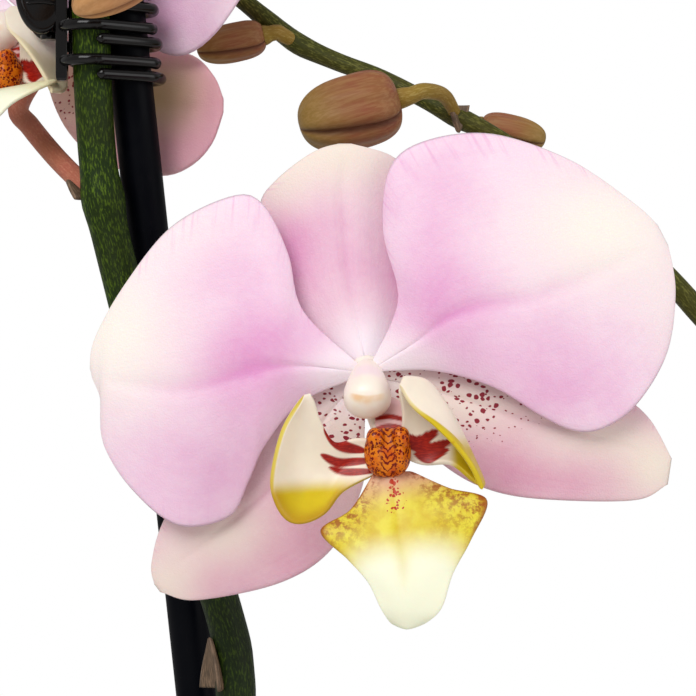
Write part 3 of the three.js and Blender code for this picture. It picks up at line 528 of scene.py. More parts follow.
def make_skin():
    """Petal skin: tone from light to deep by its blush and painted shade, clouds, faint veins, short
    streaks at the margins, and a painted glint, a small painted highlight near the middle of each cell."""
    inputs = dict(Own="Vector", Share="Vector", Blush="Float", Cream="Float", White="Float", Light="Color",
                  Deep="Color", Ivory="Color")
    group, given = new_group("petal_skin", inputs, {"Color": "Color", "Height": "Float"})
    place, share = given["Own"], given["Share"]
    across = parts_of(share)[1]
    margin = ranged(abs(across - 0.5), 0.36, 0.5)
    upper = ranged(across, 0.3, 0.1)
    fringe = ranged(noise(on_vector("MULTIPLY", share, (75.0, 3.0, 1.0))), 0.5, 0.72)
    fringe = fringe * margin * (upper * 0.75 + 0.25)
    vein = ranged(noise(on_vector("MULTIPLY", share, (2.5, 55.0, 1.0))), 0.48, 0.66)
    cells = add(group, "ShaderNodeTexVoronoi", {"Vector": place, "Scale": 3.4}, "Distance")
    # The blush mark brings the deep pink tone and painted shade: where petals overlap, on lower lobes and
    # along the crease.
    blush = given["Blush"] + (cloud_at(place, 9.0) - 0.5) * 0.2 + (cloud_at(place, 0.9) - 0.5) * 0.07
    blush = blush + vein * 0.035 + fringe * 0.46
    color = mixed(blush, given["Light"], given["Deep"])
    color = mixed(given["Cream"] * ranged(fringe, 0.0, 1.0, 1.0, 0.6), color, given["Ivory"])
    color = mixed(given["White"], color, SKIN_WHITE)
    # Painted highlight: a faint near-white glint close to the seed of each cell.
    color = mixed(ranged(cells, 0.2, 0.02) * 0.3, color, SKIN_PAINTED_GLINT)
    return close_group(group, {"Color": color, "Height": vein * 0.15 + cells * -0.7})


petal_skin = make_skin()
print("effects:", [group.name for group in bpy.data.node_groups])


# %% Material helpers
def waxy(weight):
    """Light that enters the flesh and leaves it again a millimetre away."""
    return dict(Subsurface_Weight=weight, Subsurface_Scale=MM)


def new_material(name, **values):
    """A material and the piece's own place on it. Fixed values go on the shader's own sockets."""
    material = bpy.data.materials.new(name)
    material.use_nodes = True
    shader = material.node_tree.nodes["Principled BSDF"]
    for title, value in values.items():
        shader.inputs[title.replace("_", " ")].default_value = value
    return material, own(material.node_tree)


def finish_material(material, color, height, strength, depth, roughness=None):
    """Links a colour, a relief of so many millimetres, and a roughness where it isn't a fixed value."""
    tree = material.node_tree
    relief = {"Height": height, "Strength": strength, "Distance": depth * MM}
    linked = {"Base Color": color, "Normal": add(tree, "ShaderNodeBump", relief), "Roughness": roughness}
    for title, wire in linked.items():
        if wire:
            tree.links.new(wire.socket, tree.nodes["Principled BSDF"].inputs[title])
    return material


# %% [markdown]
# ## Petals and sepals
#
# Each is drawn by its two edges, from its foot by the column to its tip, in the flower's own frame: right,
# up and forward in millimetres. Between the edges the surface swells forward a little. A crease follows
# the midrib, and the free margins wave. The tone is painted by a few soft patches: deep pink near the
# middle, ivory outside, white at the foot. Some of the deep pink is painted shade: the patches where the
# petals lie over the dorsal sepal, on the petals' lower lobes and on the side sepals below the petals, and
# part of a deeper line along the crease. Patches are easier to place than a texture, and they are smooth,
# so the mesh can carry them.

# %% Outlines of the flower
DORSAL_SEPAL = dict(
    thickness=1.0, belly=1.6, crease=0.5, steps=(64, 44),
    edges=[
        [[-2.6, 2.6, -1.8], [-11, 9.5, -2.6], [-15.5, 19, -3.8], [-16.5, 25.8, -4.2], [-14, 29.6, -4],
         [-8.8, 33.6, -3.8], [-4.4, 35.2, -3.6]],
        [[2.4, 2.6, -1.8], [6, 10, -3], [8, 18, -4], [9, 24, -4.2], [8, 29, -4], [4.2, 33.1, -3.8],
         [-2.4, 35.2, -3.6]],
    ])
LEFT_SEPAL = dict(
    thickness=1.0, belly=1.5, crease=0.42, steps=(72, 48),
    edges=[
        [[-2.6, -0.4, -1.8], [-10.2, -3, -2.6], [-18, -8.5, -3.4], [-27, -16, -4.2], [-31.6, -23.4, -5],
         [-33.3, -29.5, -5.6], [-32.9, -32.9, -5.8]],
        [[-0.6, -2.7, -1.8], [-0.4, -12, -2.6], [-0.8, -18, -3], [-5.3, -27.2, -3.8], [-13.3, -32.5, -4.4],
         [-26, -35.3, -5.4], [-32, -34.1, -5.8]],
    ])
RIGHT_SEPAL = dict(
    thickness=1.0, belly=1.5, crease=0.42, steps=(72, 48),
    edges=[
        [[2.6, -0.6, -1.8], [10, 2.4, -2.8], [20, 2.6, -3.4], [30, 0.6, -4], [38, -2.8, -4.6], [43.5, -7, -5],
         [47.2, -13.4, -5.4]],
        [[0.9, -2.5, -1.8], [4.3, -7.3, -2.4], [12.7, -15, -3.2], [20.3, -18.6, -3.8], [30, -19.8, -4.4],
         [41.7, -19.8, -5], [46.6, -17.4, -5.4]],
    ])
ROUND_SEPAL = dict(
    thickness=1.0, belly=1.5, crease=0.45, steps=(72, 48),
    edges=[
        [[2.6, -0.6, -1.8], [12, -2, -2.8], [23.8, -5.5, -3.6], [33.1, -8.1, -4], [37.5, -12, -4.3],
         [39.6, -16.2, -4.5]],
        [[0.9, -2.5, -1.8], [4.6, -14.6, -3], [10.9, -22.8, -3.6], [18.8, -26.9, -4], [27.8, -28.7, -4.2],
         [33.4, -27.4, -4.3], [37.6, -23.9, -4.4], [39.7, -18.4, -4.5]],
    ])
LEFT_PETAL = dict(
    thickness=0.9, belly=2.6, crease=0.56, steps=(80, 60),
    edges=[
        [[-2.4, 2.2, 0], [-9.8, 9.5, 0.6], [-12.2, 18.6, 0.6], [-16, 25.8, 0], [-20.6, 26.9, 0],
         [-29.8, 22.4, -0.6], [-36.9, 13.7, -1.2], [-41.5, 5.6, -1.6], [-42.5, 0.6, -1.8]],
        [[-2.6, -1.4, 0], [-10.2, -4.7, 0.6], [-15.6, -11.3, 0.8], [-18, -16.6, 0.6], [-21.1, -22.1, 0],
         [-28.9, -23.4, -0.4], [-36, -17.9, -1], [-40.2, -11.3, -1.4], [-40.4, -5, -1.7],
         [-42.2, -0.6, -1.8]],
    ])
RIGHT_PETAL = dict(
    thickness=0.9, belly=2.8, crease=0.55, steps=(80, 60),
    edges=[
        [[1.3, 2.4, 0], [4.1, 8.5, 0.6], [4.6, 13.3, 0.6], [2.4, 22, 0.4], [3.5, 31.3, 0], [9, 35.4, -0.4],
         [19.2, 36.5, -0.8], [31.1, 32.5, -1.2], [40.2, 26.4, -1.6], [44.6, 22.6, -1.8]],
        [[2.6, 0.3, 0], [10.2, 0.2, 0.6], [19.2, -2.3, 0.8], [26.6, -6.7, 0.6], [31.8, -9, 0.3],
         [36.3, -8.5, 0], [41.4, -4.7, -0.6], [46, 3, -1.2], [47.3, 12, -1.6], [46.2, 19.5, -1.8]],
    ])

# %% Tone patches: right, up, reach to the side, reach upwards, strength
# Deep pink. The patches at the dorsal sepal's edges where the petals lie over it, on the petals' lower lobes
# and on the side sepals below the petals are painted shade as well as tone.
BLUSH_AND_SHADE_PATCHES = {
    "dorsal_sepal": [(-12.5, 17, 5, 9, 0.75), (6.5, 15, 3.6, 9, 0.7), (-3, 15, 8, 7, 0.35),
                     (-6, 24, 9, 6, 0.25)],
    "left_sepal": [(-14, -28, 12, 6, 0.45), (-8, -18, 9, 8, 0.3), (-24, -33, 9, 4, 0.35),
                   (-26, -19, 8, 5, 0.3)],
    "right_sepal": [(17, -12, 9, 6, 0.5), (28, -17, 12, 5, 0.5), (34, -2, 9, 4, 0.35), (42, -9, 5, 6, 0.2)],
    "round_sepal": [(26, -24, 14, 6, 0.7), (38, -16, 5, 10, 0.8), (22, -9, 12, 4, 0.6)],
    "left_petal": [(-16, 3, 11, 6, 0.7), (-24, -14, 12, 8, 0.5), (-21, 14, 12, 9, 0.25),
                   (-14, -3, 10, 5, 0.3)],
    "right_petal": [(11, 11, 7, 9, 0.7), (29, -2, 13, 7, 0.45), (9, 27, 10, 9, 0.3), (22, 6, 12, 6, 0.25)],
}
CREAM_PATCHES = {
    "dorsal_sepal": [(-5, 34, 12, 6, 0.95), (-14, 28, 5, 5, 0.5)],
    "left_sepal": [(-31, -33, 6, 6, 0.8), (-22, -25, 7, 5, 0.75), (-4, -8, 6, 7, 0.8)],
    "right_sepal": [(45, -15, 6, 5, 0.9), (36, -10, 9, 4, 0.7), (14, -5, 11, 5, 0.75), (5, -2, 5, 4, 0.6)],
    "round_sepal": [(26, -15, 11, 7, 0.9), (12, -10, 9, 7, 0.5)],
    "left_petal": [(-39, 6, 11, 13, 1.0), (-1, 0, 7, 5, 0.5), (-28, 22, 8, 6, 0.35)],
    "right_petal": [(36, 22, 14, 10, 1.0), (1, 0, 8, 6, 0.5), (46, 8, 5, 9, 0.4)],
}
WHITE_PATCHES = {
    "dorsal_sepal": [(0, 3.5, 5, 5, 1.0)], "left_sepal": [(-2, -3, 4, 4, 0.6)],
    "right_sepal": [(3, -2, 4, 3, 0.4)], "round_sepal": [(3, -2, 5, 4, 0.4)],
    "left_petal": [(-2, 0, 7.5, 4.5, 0.9)], "right_petal": [(2, 0.5, 9, 4.5, 0.9)],
}
SPOT_PATCHES = {
    "left_sepal": [(-3.8, -7.6, 5.5, 6.5, 1.4), (-10.5, -17, 3, 3, 0.4)],
    "right_sepal": [(9, -2, 8, 6, 1.3), (18, -5, 9, 5, 0.9)],
    "round_sepal": [(7, -9, 7, 9, 1.2), (14, -4, 6, 5, 0.6)],
}
# A deeper pink line along the crease: partly the midrib's own tone, partly painted shade in the groove.
CREASE_TONE_AND_SHADE = dict(left_petal=0.3, right_petal=0.3, left_sepal=0.25, right_sepal=0.2, dorsal_sepal=0.1)


def patches(places, listed):
    """A sum of soft patches, each a strength times a bell to the side and a bell upwards."""
    right, up = places[..., 0], places[..., 1]
    total = 0 * right
    for x, y, wide, high, strength in listed:
        total += strength * bell(right - x, wide) * bell(up - y, high)
    return np.clip(total, 0, 1)


GROOVE_WIDTH = 0.035
CREASE_TONE_AND_SHADE_WIDTH = 0.024
MARK_PATCHES = dict(blush=BLUSH_AND_SHADE_PATCHES, cream=CREAM_PATCHES, white=WHITE_PATCHES, spotted=SPOT_PATCHES)


def blade(outline, name, detail, paint=0, wave=0.35, groove=0.45, sharpness=18, inward=1.0):
    """The surface between the edges, plus belly sin(pi s) sin(pi t) forward, less a groove along the
    crease, plus waves that grow with (2t - 1)^4. detail scales the number of steps, and inward draws
    the foot of both edges towards the middle of the flower."""
    s, t = (eased(round(count * detail)) for count in outline["steps"])
    drawn = [[np.multiply(edge[0], (inward, inward, 1)), *edge[1:]] for edge in outline["edges"]]
    flat = curve(np.stack([by_length(edge, s) for edge in drawn]), t).transpose(1, 0, 2)
    s, t = np.meshgrid(s, t, indexing="ij")
    off_crease = t - outline["crease"]
    lift = outline["belly"] * np.sin(np.pi * s) * np.sin(np.pi * t)
    lift -= groove * np.sin(np.pi * np.clip(1.15 * s, 0, 1)) ** 0.8 * bell(off_crease, GROOVE_WIDTH)
    lift += wave * (2 * t - 1) ** 4 * np.sin(17 * s + 3 * t) * np.sin(np.pi * s)
    middle = flat + stacked(0, 0, lift)
    half = outline["thickness"] / 2 * rim_shape(s, t, sharpness)[..., None]
    marks = {label: patches(flat, listed.get(name, [])) for label, listed in MARK_PATCHES.items()}
    # Along the crease the blush mark gets a line that is partly midrib tone and partly painted shade.
    line = bell(off_crease, CREASE_TONE_AND_SHADE_WIDTH) * smooth(s, 0.15, 0.3) * smooth(s, 0.85, 0.6)
    marks["blush"] += CREASE_TONE_AND_SHADE.get(name, 0) * line
    return sheet_body(middle, half, s, t, middle, paint, **marks)


# %% Petal and sepal finishes
SEPAL_IVORY = rgb(228, 214, 200)
SPOT_RED = rgb(134, 0, 34)
SPOT_PITCH = 0.8
SPOT_REACH = 0.35


def tepal_material(name, light, deep, ivory, spotted=False):
    """Petal skin, with dark red spots near the foot where the piece is marked as spotted."""
    material, place = new_material(name, Roughness=0.55, Sheen_Weight=0.08, **waxy(0.08))
    share = own(place.tree, "share")
    # The blush mark holds painted shade as well as the deep pink tone.
    tones = {label.title(): mark(place, label) for label in ("blush", "cream", "white")}
    inputs = {"Own": place, "Share": share, "Light": light, "Deep": deep, "Ivory": ivory, **tones}
    color = effect(petal_skin, inputs, "Color")
    height = color.twin("Height")
    if spotted:
        reach = mark(place, "spotted")
        drawn_out = on_vector("MULTIPLY", place, (0.8, 1.05, 1.0))
        in_front = ranged(parts_of(share)[2], -0.2, 0.2)
        spot = spots_at(drawn_out, SPOT_PITCH, reach * SPOT_REACH, 0.5) * in_front
        color = mixed(spot * ranged(reach, 0.1, 0.2), color, SPOT_RED)
    return finish_material(material, color, height, 0.35, 0.12)


petal_paint = tepal_material(
    "petal_pink", light=rgb(235, 205, 222), deep=rgb(214, 137, 190), ivory=rgb(238, 229, 220))
sepal_paint = tepal_material(
    "sepal_pink", light=rgb(232, 200, 212), deep=rgb(208, 128, 176), ivory=SEPAL_IVORY)
side_sepal_paint = tepal_material(
    "sepal_side", light=rgb(224, 191, 198), deep=rgb(204, 124, 162), ivory=SEPAL_IVORY, spotted=True)
aged_paint = tepal_material(
    "sepal_aged", light=rgb(238, 198, 196), deep=rgb(226, 154, 180), ivory=rgb(190, 156, 106), spotted=True)

# %% [markdown]
# ## Lip and column
#
# The lip is the landing place for the insect: two lobes that stand up at its sides, a spotted callus
# between them, and a kite-shaped middle lobe that hangs forward. They grew as one, so they are one
# object. The lobes that curl are drawn by three guides instead of two edges. The red stripes are
# strokes with a width that tapers, measured from each point of the mesh, which keeps them where the
# real ones run.

# %% Lip outlines
LIP_LEFT_LOBE = dict(
    thickness=0.9, belly=-2.6, crease=0.5, steps=(110, 90),
    edges=[
        [[1.2, -9.8, 8.2], [-1.8, -9.8, 8.2], [-4.9, -10.3, 8.6], [-6.9, -7.2, 10.5], [-7.8, -4.4, 12],
         [-8.5, -3, 12.6]],
        [[2.2, -14.8, 8.4], [-3.6, -17.7, 9.6], [-6.4, -20.9, 11.4], [-9.3, -22.2, 12.9],
         [-11.8, -21.8, 13.6], [-13.6, -19.2, 14.2], [-14.2, -15.5, 14.4], [-12.6, -8.6, 13.6],
         [-9.4, -3.2, 12.8]],
    ])
LIP_RIGHT_LOBE = dict(
    thickness=0.9, belly=0, crease=0.5, steps=(90, 90),
    edges=[
        [[16.9, -17.2, 13.4], [15.4, -13.9, 14.4], [13, -10.7, 14.8], [9.9, -7.7, 14.6], [6.6, -5, 13.6],
         [4.7, -1.8, 12.4]],
        [[17.2, -16.8, 11.8], [16.5, -14.9, 9.4], [14.5, -10.8, 8], [11.9, -5.8, 7.6], [8.9, -1.6, 8.6],
         [5.2, -0.7, 11.6]],
        [[16.2, -16.6, 11.2], [12.4, -13.6, 9.4], [8.2, -13.8, 8.2], [5, -12.2, 7.8], [5, -9.7, 7.8],
         [5.2, -6.2, 8.6], [4.6, -2.6, 10.6]],
    ])
LIP_MIDDLE_LOBE = dict(
    thickness=0.9, belly=0, crease=0.5, steps=(90, 70),
    edges=[
        [[1.2, -14.6, 8.6], [-2.6, -20.4, 10.4], [-7, -23.4, 12], [-2.9, -27.6, 13.2], [0, -30.8, 13.6],
         [1.9, -34.6, 13.4], [3.6, -37.1, 12.4]],
        [[3.8, -14.6, 9.4], [4.1, -18.7, 11], [4.7, -23.1, 13], [5.1, -27, 14.4], [5.3, -31, 14.8],
         [5.5, -34.7, 14.2], [5.8, -37.9, 12.8]],
        [[6.4, -14.8, 8.6], [12.3, -17.2, 10.4], [17.7, -18.8, 12], [15.3, -24.6, 13.2], [12.6, -29.6, 13.6],
         [10.9, -34.7, 13.4], [8, -37.2, 12.4]],
    ])
LIP_STRAP = dict(
    thickness=0.8, belly=0.4, crease=0.5, steps=(60, 44),
    edges=[
        [[-0.6, -3.2, 0.8], [1.0, -5.0, 4.4], [1.2, -7.6, 6.4], [1.4, -10.4, 8]],
        [[1.4, -3.2, 0.8], [5.4, -4.8, 4.6], [6.6, -7.2, 6.6], [6, -10.4, 8]],
    ])
LIP_TOP = dict(up=-14.6, forward=9)
CLAW_PATH = [[0.3, -3.3, 0.3], [0.6, -5.4, 2.6], [1.6, -8.2, 5.2], [2.8, -11.4, 8]]
CLAW_RADIUS = 1.1
CALLUS_PLACE = (3, -11.9, 9.6)
CALLUS_RADII = (3.5, 3.7, 2.6)
HORNS = [(1.2, -9.8, 11), (4.9, -9.6, 11)]
HORN_RADII = (1.4, 1.7, 1.9)

# Stripes of the lobes: a path of right and up, and the widest half-width
LEFT_STRIPES = [
    ([(-6.4, -8.2), (-4.2, -10.6), (-0.6, -11.6)], 0.95), ([(-7, -12.1), (-4.2, -13.4), (0.4, -13.2)], 0.8),
    ([(-5.8, -14.1), (-3.2, -15), (0.8, -14.8)], 0.65),
]
RIGHT_STRIPES = [
    ([(5.6, -9.4), (7.6, -10.4), (10.2, -8.9)], 1.0), ([(6, -10.8), (9, -11.5), (12.2, -10.5)], 0.95),
    ([(7, -12.1), (9.3, -13), (11.9, -11.7)], 0.75),
]
STRAP_STRIPES = [
    ([(1.2, -7.2), (3.4, -6.8), (6.2, -7.4)], 0.4), ([(1.2, -8.6), (3.6, -8.2), (6.4, -8.8)], 0.45),
    ([(1.6, -9.8), (4, -9.4), (6.6, -10)], 0.5),
]


def strokes(places, listed):
    """1 inside a stroke and 0 outside. Its half-width swells as (4 x (1 - x))^0.6 along its path."""
    total = np.zeros(places.shape[:-1])
    x = np.linspace(0, 1, 40)
    for path, width in listed:
        line = curve(path, x)
        away = np.linalg.norm(places[..., None, :2] - line, axis=-1)
        half = width * (0.12 + 0.88 * (4 * x * (1 - x) * 0.8 + 0.2 * x) ** 0.6)
        total = np.maximum(total, smooth(np.max(half - away, axis=-1), -0.1, 0.1))
    return total


# %% Lip and column bodies
def lobe(outline, stripes, yellow, strength, detail, mauve=0.0):
    """A side lobe with its stripes and its shares of yellow, brown and mauve."""
    made = blade(outline, "lobe", detail, wave=0.0, groove=0.0, sharpness=22)
    place, share = made["own"], made["share"]
    gold = strength * yellow(place, share)
    made["marks"] = dict(red=strokes(place, stripes), yellow=gold, mauve=mauve + 0 * gold,
                         brown=gold * smooth(share[:, 1], 0.8, 1.0) * smooth(place[:, 1], -14, -19))
    return made


def left_yellow(place, share):
    """The part that hangs more than 17 mm below the middle, and the outer margin."""
    return np.maximum(smooth(place[:, 1], -15.4, -18.2), 0.9 * smooth(share[:, 1], 0.965, 0.995))


def right_yellow(place, share):
    """A line along the front margin that widens downwards, and the outer part of the lobe's foot."""
    right, up = place[:, 0], place[:, 1]
    low = smooth(up, -5.5, -12)
    line = smooth(share[:, 1] - 0.1 * low, 0.035, 0.01) * (0.35 + 0.65 * smooth(up, -3, -7))
    return np.maximum(line, np.minimum(smooth(up, -8.8, -12), smooth(right, 12, 13.5)))


def middle_lobe(reach, lift, gold, detail):
    """The middle lobe, with its length below the callus drawn in or out, and then swung forward about its
    top: down cos(lift) - out sin(lift) below the top, and down sin(lift) + out cos(lift) in front of it.
    The speckles lie along the upper margins. Between them the yellow runs further down at the sides."""
    edges = np.array(LIP_MIDDLE_LOBE["edges"], float)
    down, out = (LIP_TOP["up"] - edges[..., 1]) * reach, edges[..., 2] - LIP_TOP["forward"]
    cosine, sine = math.cos(math.radians(lift)), math.sin(math.radians(lift))
    edges[..., 1] = LIP_TOP["up"] - down * cosine + out * sine
    edges[..., 2] = LIP_TOP["forward"] + down * sine + out * cosine
    made = blade({**LIP_MIDDLE_LOBE, "edges": edges.tolist()}, "middle_lobe", detail, 1, wave=0.0,
                 groove=0.15, sharpness=22)
    s, t = made["share"][:, 0], made["share"][:, 1]
    corner = np.abs(2 * t - 1)
    upper_margin = smooth(corner, 0.22, 0.85) * smooth(s, 0.56, 0.36)
    lower_margin = smooth(corner, 0.78, 1.0) * smooth(s, 0.7, 0.45)
    stripe = bell(corner, 0.12) * smooth(s, 0.8, 0.5)
    pale = smooth(s - 0.18 * corner**2, 0.36, 0.6) * (1 - 0.4 * stripe)
    made["marks"] = dict(
        corner=gold * np.clip(upper_margin + 0.5 * lower_margin, 0, 1),
        rim=gold * smooth(corner, 0.9, 0.99) * smooth(s, 0.62, 0.4),
        pale=1 - (1 - pale) * gold,
        blushing=smooth(s, 0.26, 0.02),
        dotted=bell(corner, 0.18) * smooth(s, 0.34, 0.2),
    )
    return made


def callus_shape(cube):
    """Two ridges beside a valley: the front swells by 0.35 in a bell about |x| = 0.6, less 0.12."""
    ridges = 0.35 * bell(np.abs(cube[..., 0]) - 0.6, 0.28)
    return cube + stacked(0, 0, np.clip(cube[..., 2], 0, 1) * (ridges - 0.12))


def lip(reach, lift, gold, detail):
    """Two side lobes, the strap behind the callus, the middle lobe, the claw, and the callus with its horns.
    gold is the strength of the yellow, which fades as a bloom ages."""
    callus = blob(CALLUS_PLACE, CALLUS_RADII, 0.85, round(40 * detail), round(60 * detail), 2, callus_shape)
    return [
        lobe(LIP_LEFT_LOBE, LEFT_STRIPES, left_yellow, gold, detail),
        lobe(LIP_RIGHT_LOBE, RIGHT_STRIPES, right_yellow, gold, detail),
        lobe(LIP_STRAP, STRAP_STRIPES, left_yellow, 0, detail, mauve=0.7),
        middle_lobe(reach, lift, gold, detail),
        tube(CLAW_PATH, lambda s: CLAW_RADIUS + 0 * s, rows=24, sides=14), callus,
        *(blob(place, HORN_RADII, 0.9, rows=24, sides=32, paint=2) for place in HORNS),
    ]


COLUMN_PATH = [[0, 0, -4], [0, 0.1, 0], [0, -0.8, 3.5], [0, -3.2, 7], [0, -5.8, 9.4]]
COLUMN_RADII = [(0, 2), (0.34, 2), (0.5, 2.6), (0.74, 3.5), (1, 3.8)]
HEAD_START = 0.8
COLLAR = dict(place=(0, 0.4, -1.2), radii=(2.6, 2.2, 1.9))


def column_radius(s):
    """The widths along the column, times sqrt(1 - x^2.4) over the head, which rounds it off."""
    head = np.clip((s - HEAD_START) / (1 - HEAD_START), 0, 0.995)
    return np.interp(s, *zip(*COLUMN_RADII)) * np.sqrt(1 - head**2.4)


def column():
    """A tube that swells to a rounded head, and a low collar where the petals meet behind it."""
    stem = tube(COLUMN_PATH, column_radius, rows=80, sides=44, spread=0.6)
    return [stem, blob(COLLAR["place"], COLLAR["radii"], 1.0, rows=20, sides=32)]


# %% Lip and column finishes
LIP = dict(
    ivory=rgb(238, 226, 206), shade=rgb(218, 200, 188), mauve=rgb(204, 146, 154), yellow=rgb(206, 182, 26),
    ochre=rgb(188, 158, 26), brown=rgb(150, 74, 14), red=rgb(136, 16, 8), bright_red=rgb(170, 34, 16),
    lemon=rgb(220, 206, 62), deep_lemon=rgb(206, 178, 40), white=rgb(240, 240, 214), tan=rgb(206, 142, 140),
    mottle=rgb(146, 66, 24), dots=rgb(176, 44, 4), orange=rgb(212, 118, 14), rust=rgb(190, 78, 8),
    maroon=rgb(104, 12, 4),
)
COLUMN = dict(ivory=rgb(242, 230, 216), lilac=rgb(236, 212, 228), peach=rgb(232, 190, 142))


def lobe_material():
    """Ivory with yellow margins, red stripes with frayed edges and a waxy gloss."""
    material, place = new_material("lip_lobe", Roughness=0.32, Specular_IOR_Level=0.25, **waxy(0.08))
    cloud = cloud_at(place, 5.0)
    ivory = mixed(cloud * 0.3, LIP["ivory"], LIP["shade"])
    ivory = mixed(mark(place, "mauve"), ivory, LIP["mauve"])
    gold = mixed(cloud * 0.4, LIP["yellow"], LIP["ochre"])
    color = mixed(mark(place, "yellow"), ivory, gold)
    color = mixed(mark(place, "brown") * 0.45, color, LIP["brown"])
    fray, height = streaks_at(place, (1.2, 5.0, 1.2), 0.35, 0.6)
    color = mixed(mark(place, "red"), color, mixed(fray, LIP["bright_red"], LIP["red"]))
    return finish_material(material, color, height, 0.12, 0.1)


def middle_lobe_material():
    """Yellow, mottled with brown along its upper margins, white below and flushed at the top."""
    material, place = new_material("lip_middle", Roughness=0.38, Specular_IOR_Level=0.25, **waxy(0.08))
    cloud = cloud_at(place, 3.0)
    color = mixed(cloud, LIP["deep_lemon"], LIP["lemon"])
    color = mixed(mark(place, "pale"), color, LIP["white"])
    color = mixed(mark(place, "blushing") * 0.8, color, LIP["tan"])
    mottle = ranged(noise(place, 0.75, 6.0, 0.72), 0.44, 0.6) * mark(place, "corner")
    color = mixed(mottle * 0.85, color, LIP["mottle"])
    size = mark(place, "dotted") * 0.62
    dots = spots_at(place, 0.62, size, 0.6) * ranged(size, 0.1, 0.2)
    color = mixed(dots, color, LIP["dots"])
    color = mixed(mark(place, "rim") * 0.9, color, LIP["brown"])
    return finish_material(material, color, cloud, 0.15, 0.2)


def callus_material():
    """Orange with dark red spots on the ridges, and between them chevrons sin(2 pi (up - |side| + noise))."""
    material, place = new_material("lip_callus", Roughness=0.3, Specular_IOR_Level=0.2, **waxy(0.05))
    right, up = parts_of(place)[:2]
    side = abs(right - CALLUS_PLACE[0])
    wave = reckon("SINE", (noise(place, 1.3) * 1.6 + (up - side)) * FULL_TURN)
    chevron = ranged(wave, 0.1, 0.7) * ranged(side, 1.5, 0.8)
    spot = spots_at(place, 0.46, 0.46, 0.5) * ranged(side, 0.5, 1.1)
    orange = mixed(cloud_at(place, 1.6), LIP["orange"], LIP["rust"])
    color = mixed(reckon("MAXIMUM", chevron, spot), orange, LIP["maroon"])
    return finish_material(material, color, chevron, 0.2, 0.15)


def column_material():
    """Ivory wax, with a breath of lilac on the back and a peach crescent where the anther cap closes."""
    material, place = new_material("column_wax", Roughness=0.35, **waxy(0.1))
    cloud = cloud_at(place, 2.5)
    along = parts_of(own(place.tree, "share"))[0]
    across = parts_of(place)[1]
    off_middle = across * across
    lilac = ranged(along, 0.48, 0.62) * ranged(along, 0.8, 0.68) * ranged(off_middle, 7.0, 1.0, 0.0, 0.5)
    color = mixed(lilac, COLUMN["ivory"], COLUMN["lilac"])
    level = along + off_middle * 0.009
    seam = ranged(level, 0.935, 0.955) * ranged(level, 1.0, 0.97) * ranged(off_middle, 8.0, 3.0)
    color = mixed(seam * (cloud * 0.6 + 0.3), color, COLUMN["peach"])
    return finish_material(material, color, cloud, 0.1, 0.15)


lobe_paint = lobe_material()
middle_paint = middle_lobe_material()
callus_paint = callus_material()
column_paint = column_material()

# %% [markdown]
# ## Four blooms
#
# Every bloom is the same flower, turned, tilted and resized, so its pieces are worked out as arrays and
# then moved. The tone patches ride along, because they are kept in the flower's own frame. The front
# bloom fills the picture and has the finest grid. The other three are smaller in view, and get fewer
# faces. The oldest bloom, behind the stake, has a rounder side sepal that has begun to turn tan.

# %% Place the blooms
FRESH = dict(reach=1, lift=0, gold=1, swing=0, round_sepal=False)
AGED = dict(reach=0.62, lift=35, gold=0.3, swing=-28, round_sepal=True)
FULL_DETAIL = 1.0
COPY_DETAIL = 0.66
BLOOMS = [
    dict(place=(12.9, -30, 353.3), left=0, up=0, roll=0, size=1, **FRESH),
    dict(place=(-45.2, 23, 413.2), left=32, up=8, roll=2, size=0.98, **AGED),
    dict(place=(106, -32, 254), left=-14, up=-6, roll=-5, size=0.98, **FRESH),
    dict(place=(130, 2, 324), left=-34, up=4, roll=-12, size=0.92, **FRESH),
]
TEPALS = dict(dorsal_sepal=DORSAL_SEPAL, left_sepal=LEFT_SEPAL, right_sepal=RIGHT_SEPAL,
              left_petal=LEFT_PETAL, right_petal=RIGHT_PETAL)


def turn_about(axis, degrees):
    """The matrix of a turn about one of the axes x, y and z."""
    angle = math.radians(degrees)
    c, s = math.cos(angle), math.sin(angle)
    matrices = dict(x=[[1, 0, 0], [0, c, -s], [0, s, c]], y=[[c, 0, s], [0, 1, 0], [-s, 0, c]],
                    z=[[c, -s, 0], [s, c, 0], [0, 0, 1]])
    return np.array(matrices[axis])


def bloom_turn(bloom):
    """Right, up and forward become +X, +Z and -Y, and then come roll, tilt and turn."""
    tilt = turn_about("x", 90 - bloom["up"])
    return turn_about("z", -bloom["left"]) @ tilt @ turn_about("z", bloom["roll"])


def bloom_point(bloom, local):
    """A point of the bloom's own frame, as a point of the plant."""
    return (bloom_turn(bloom) @ np.asarray(local, float)) * bloom["size"] + np.asarray(bloom["place"])


FOOT_INWARD = 0.4
tepal_paints = dict(dorsal_sepal=sepal_paint, left_sepal=side_sepal_paint, right_sepal=side_sepal_paint,
                    left_petal=petal_paint, right_petal=petal_paint)
column_bodies = column()
for number, bloom in enumerate(BLOOMS, 1):
    place = dict(turn=bloom_turn(bloom), place=bloom["place"], size=bloom["size"])
    detail = FULL_DETAIL if number == 1 else COPY_DETAIL
    for name, outline in TEPALS.items():
        label, paint = name, tepal_paints[name]
        if name == "right_sepal" and bloom["round_sepal"]:
            label, outline, paint = "round_sepal", ROUND_SEPAL, aged_paint
        shell = blade(outline, label, detail, inward=FOOT_INWARD)
        if name == "left_sepal":
            shell = moved(shell, turn_about("z", bloom["swing"]))
        dress(f"bloom_{number}_{name}", [moved(shell, **place)], [paint])
    lip_bodies = lip(bloom["reach"], bloom["lift"], bloom["gold"], detail)
    for name, bodies, paints in (("lip", lip_bodies, [lobe_paint, middle_paint, callus_paint]),
                                 ("column", column_bodies, [column_paint])):
        dress(f"bloom_{number}_{name}", [moved(shell, **place) for shell in bodies], paints)
print("blooms:", len(BLOOMS), "with", sum(made_triangles), "triangles")

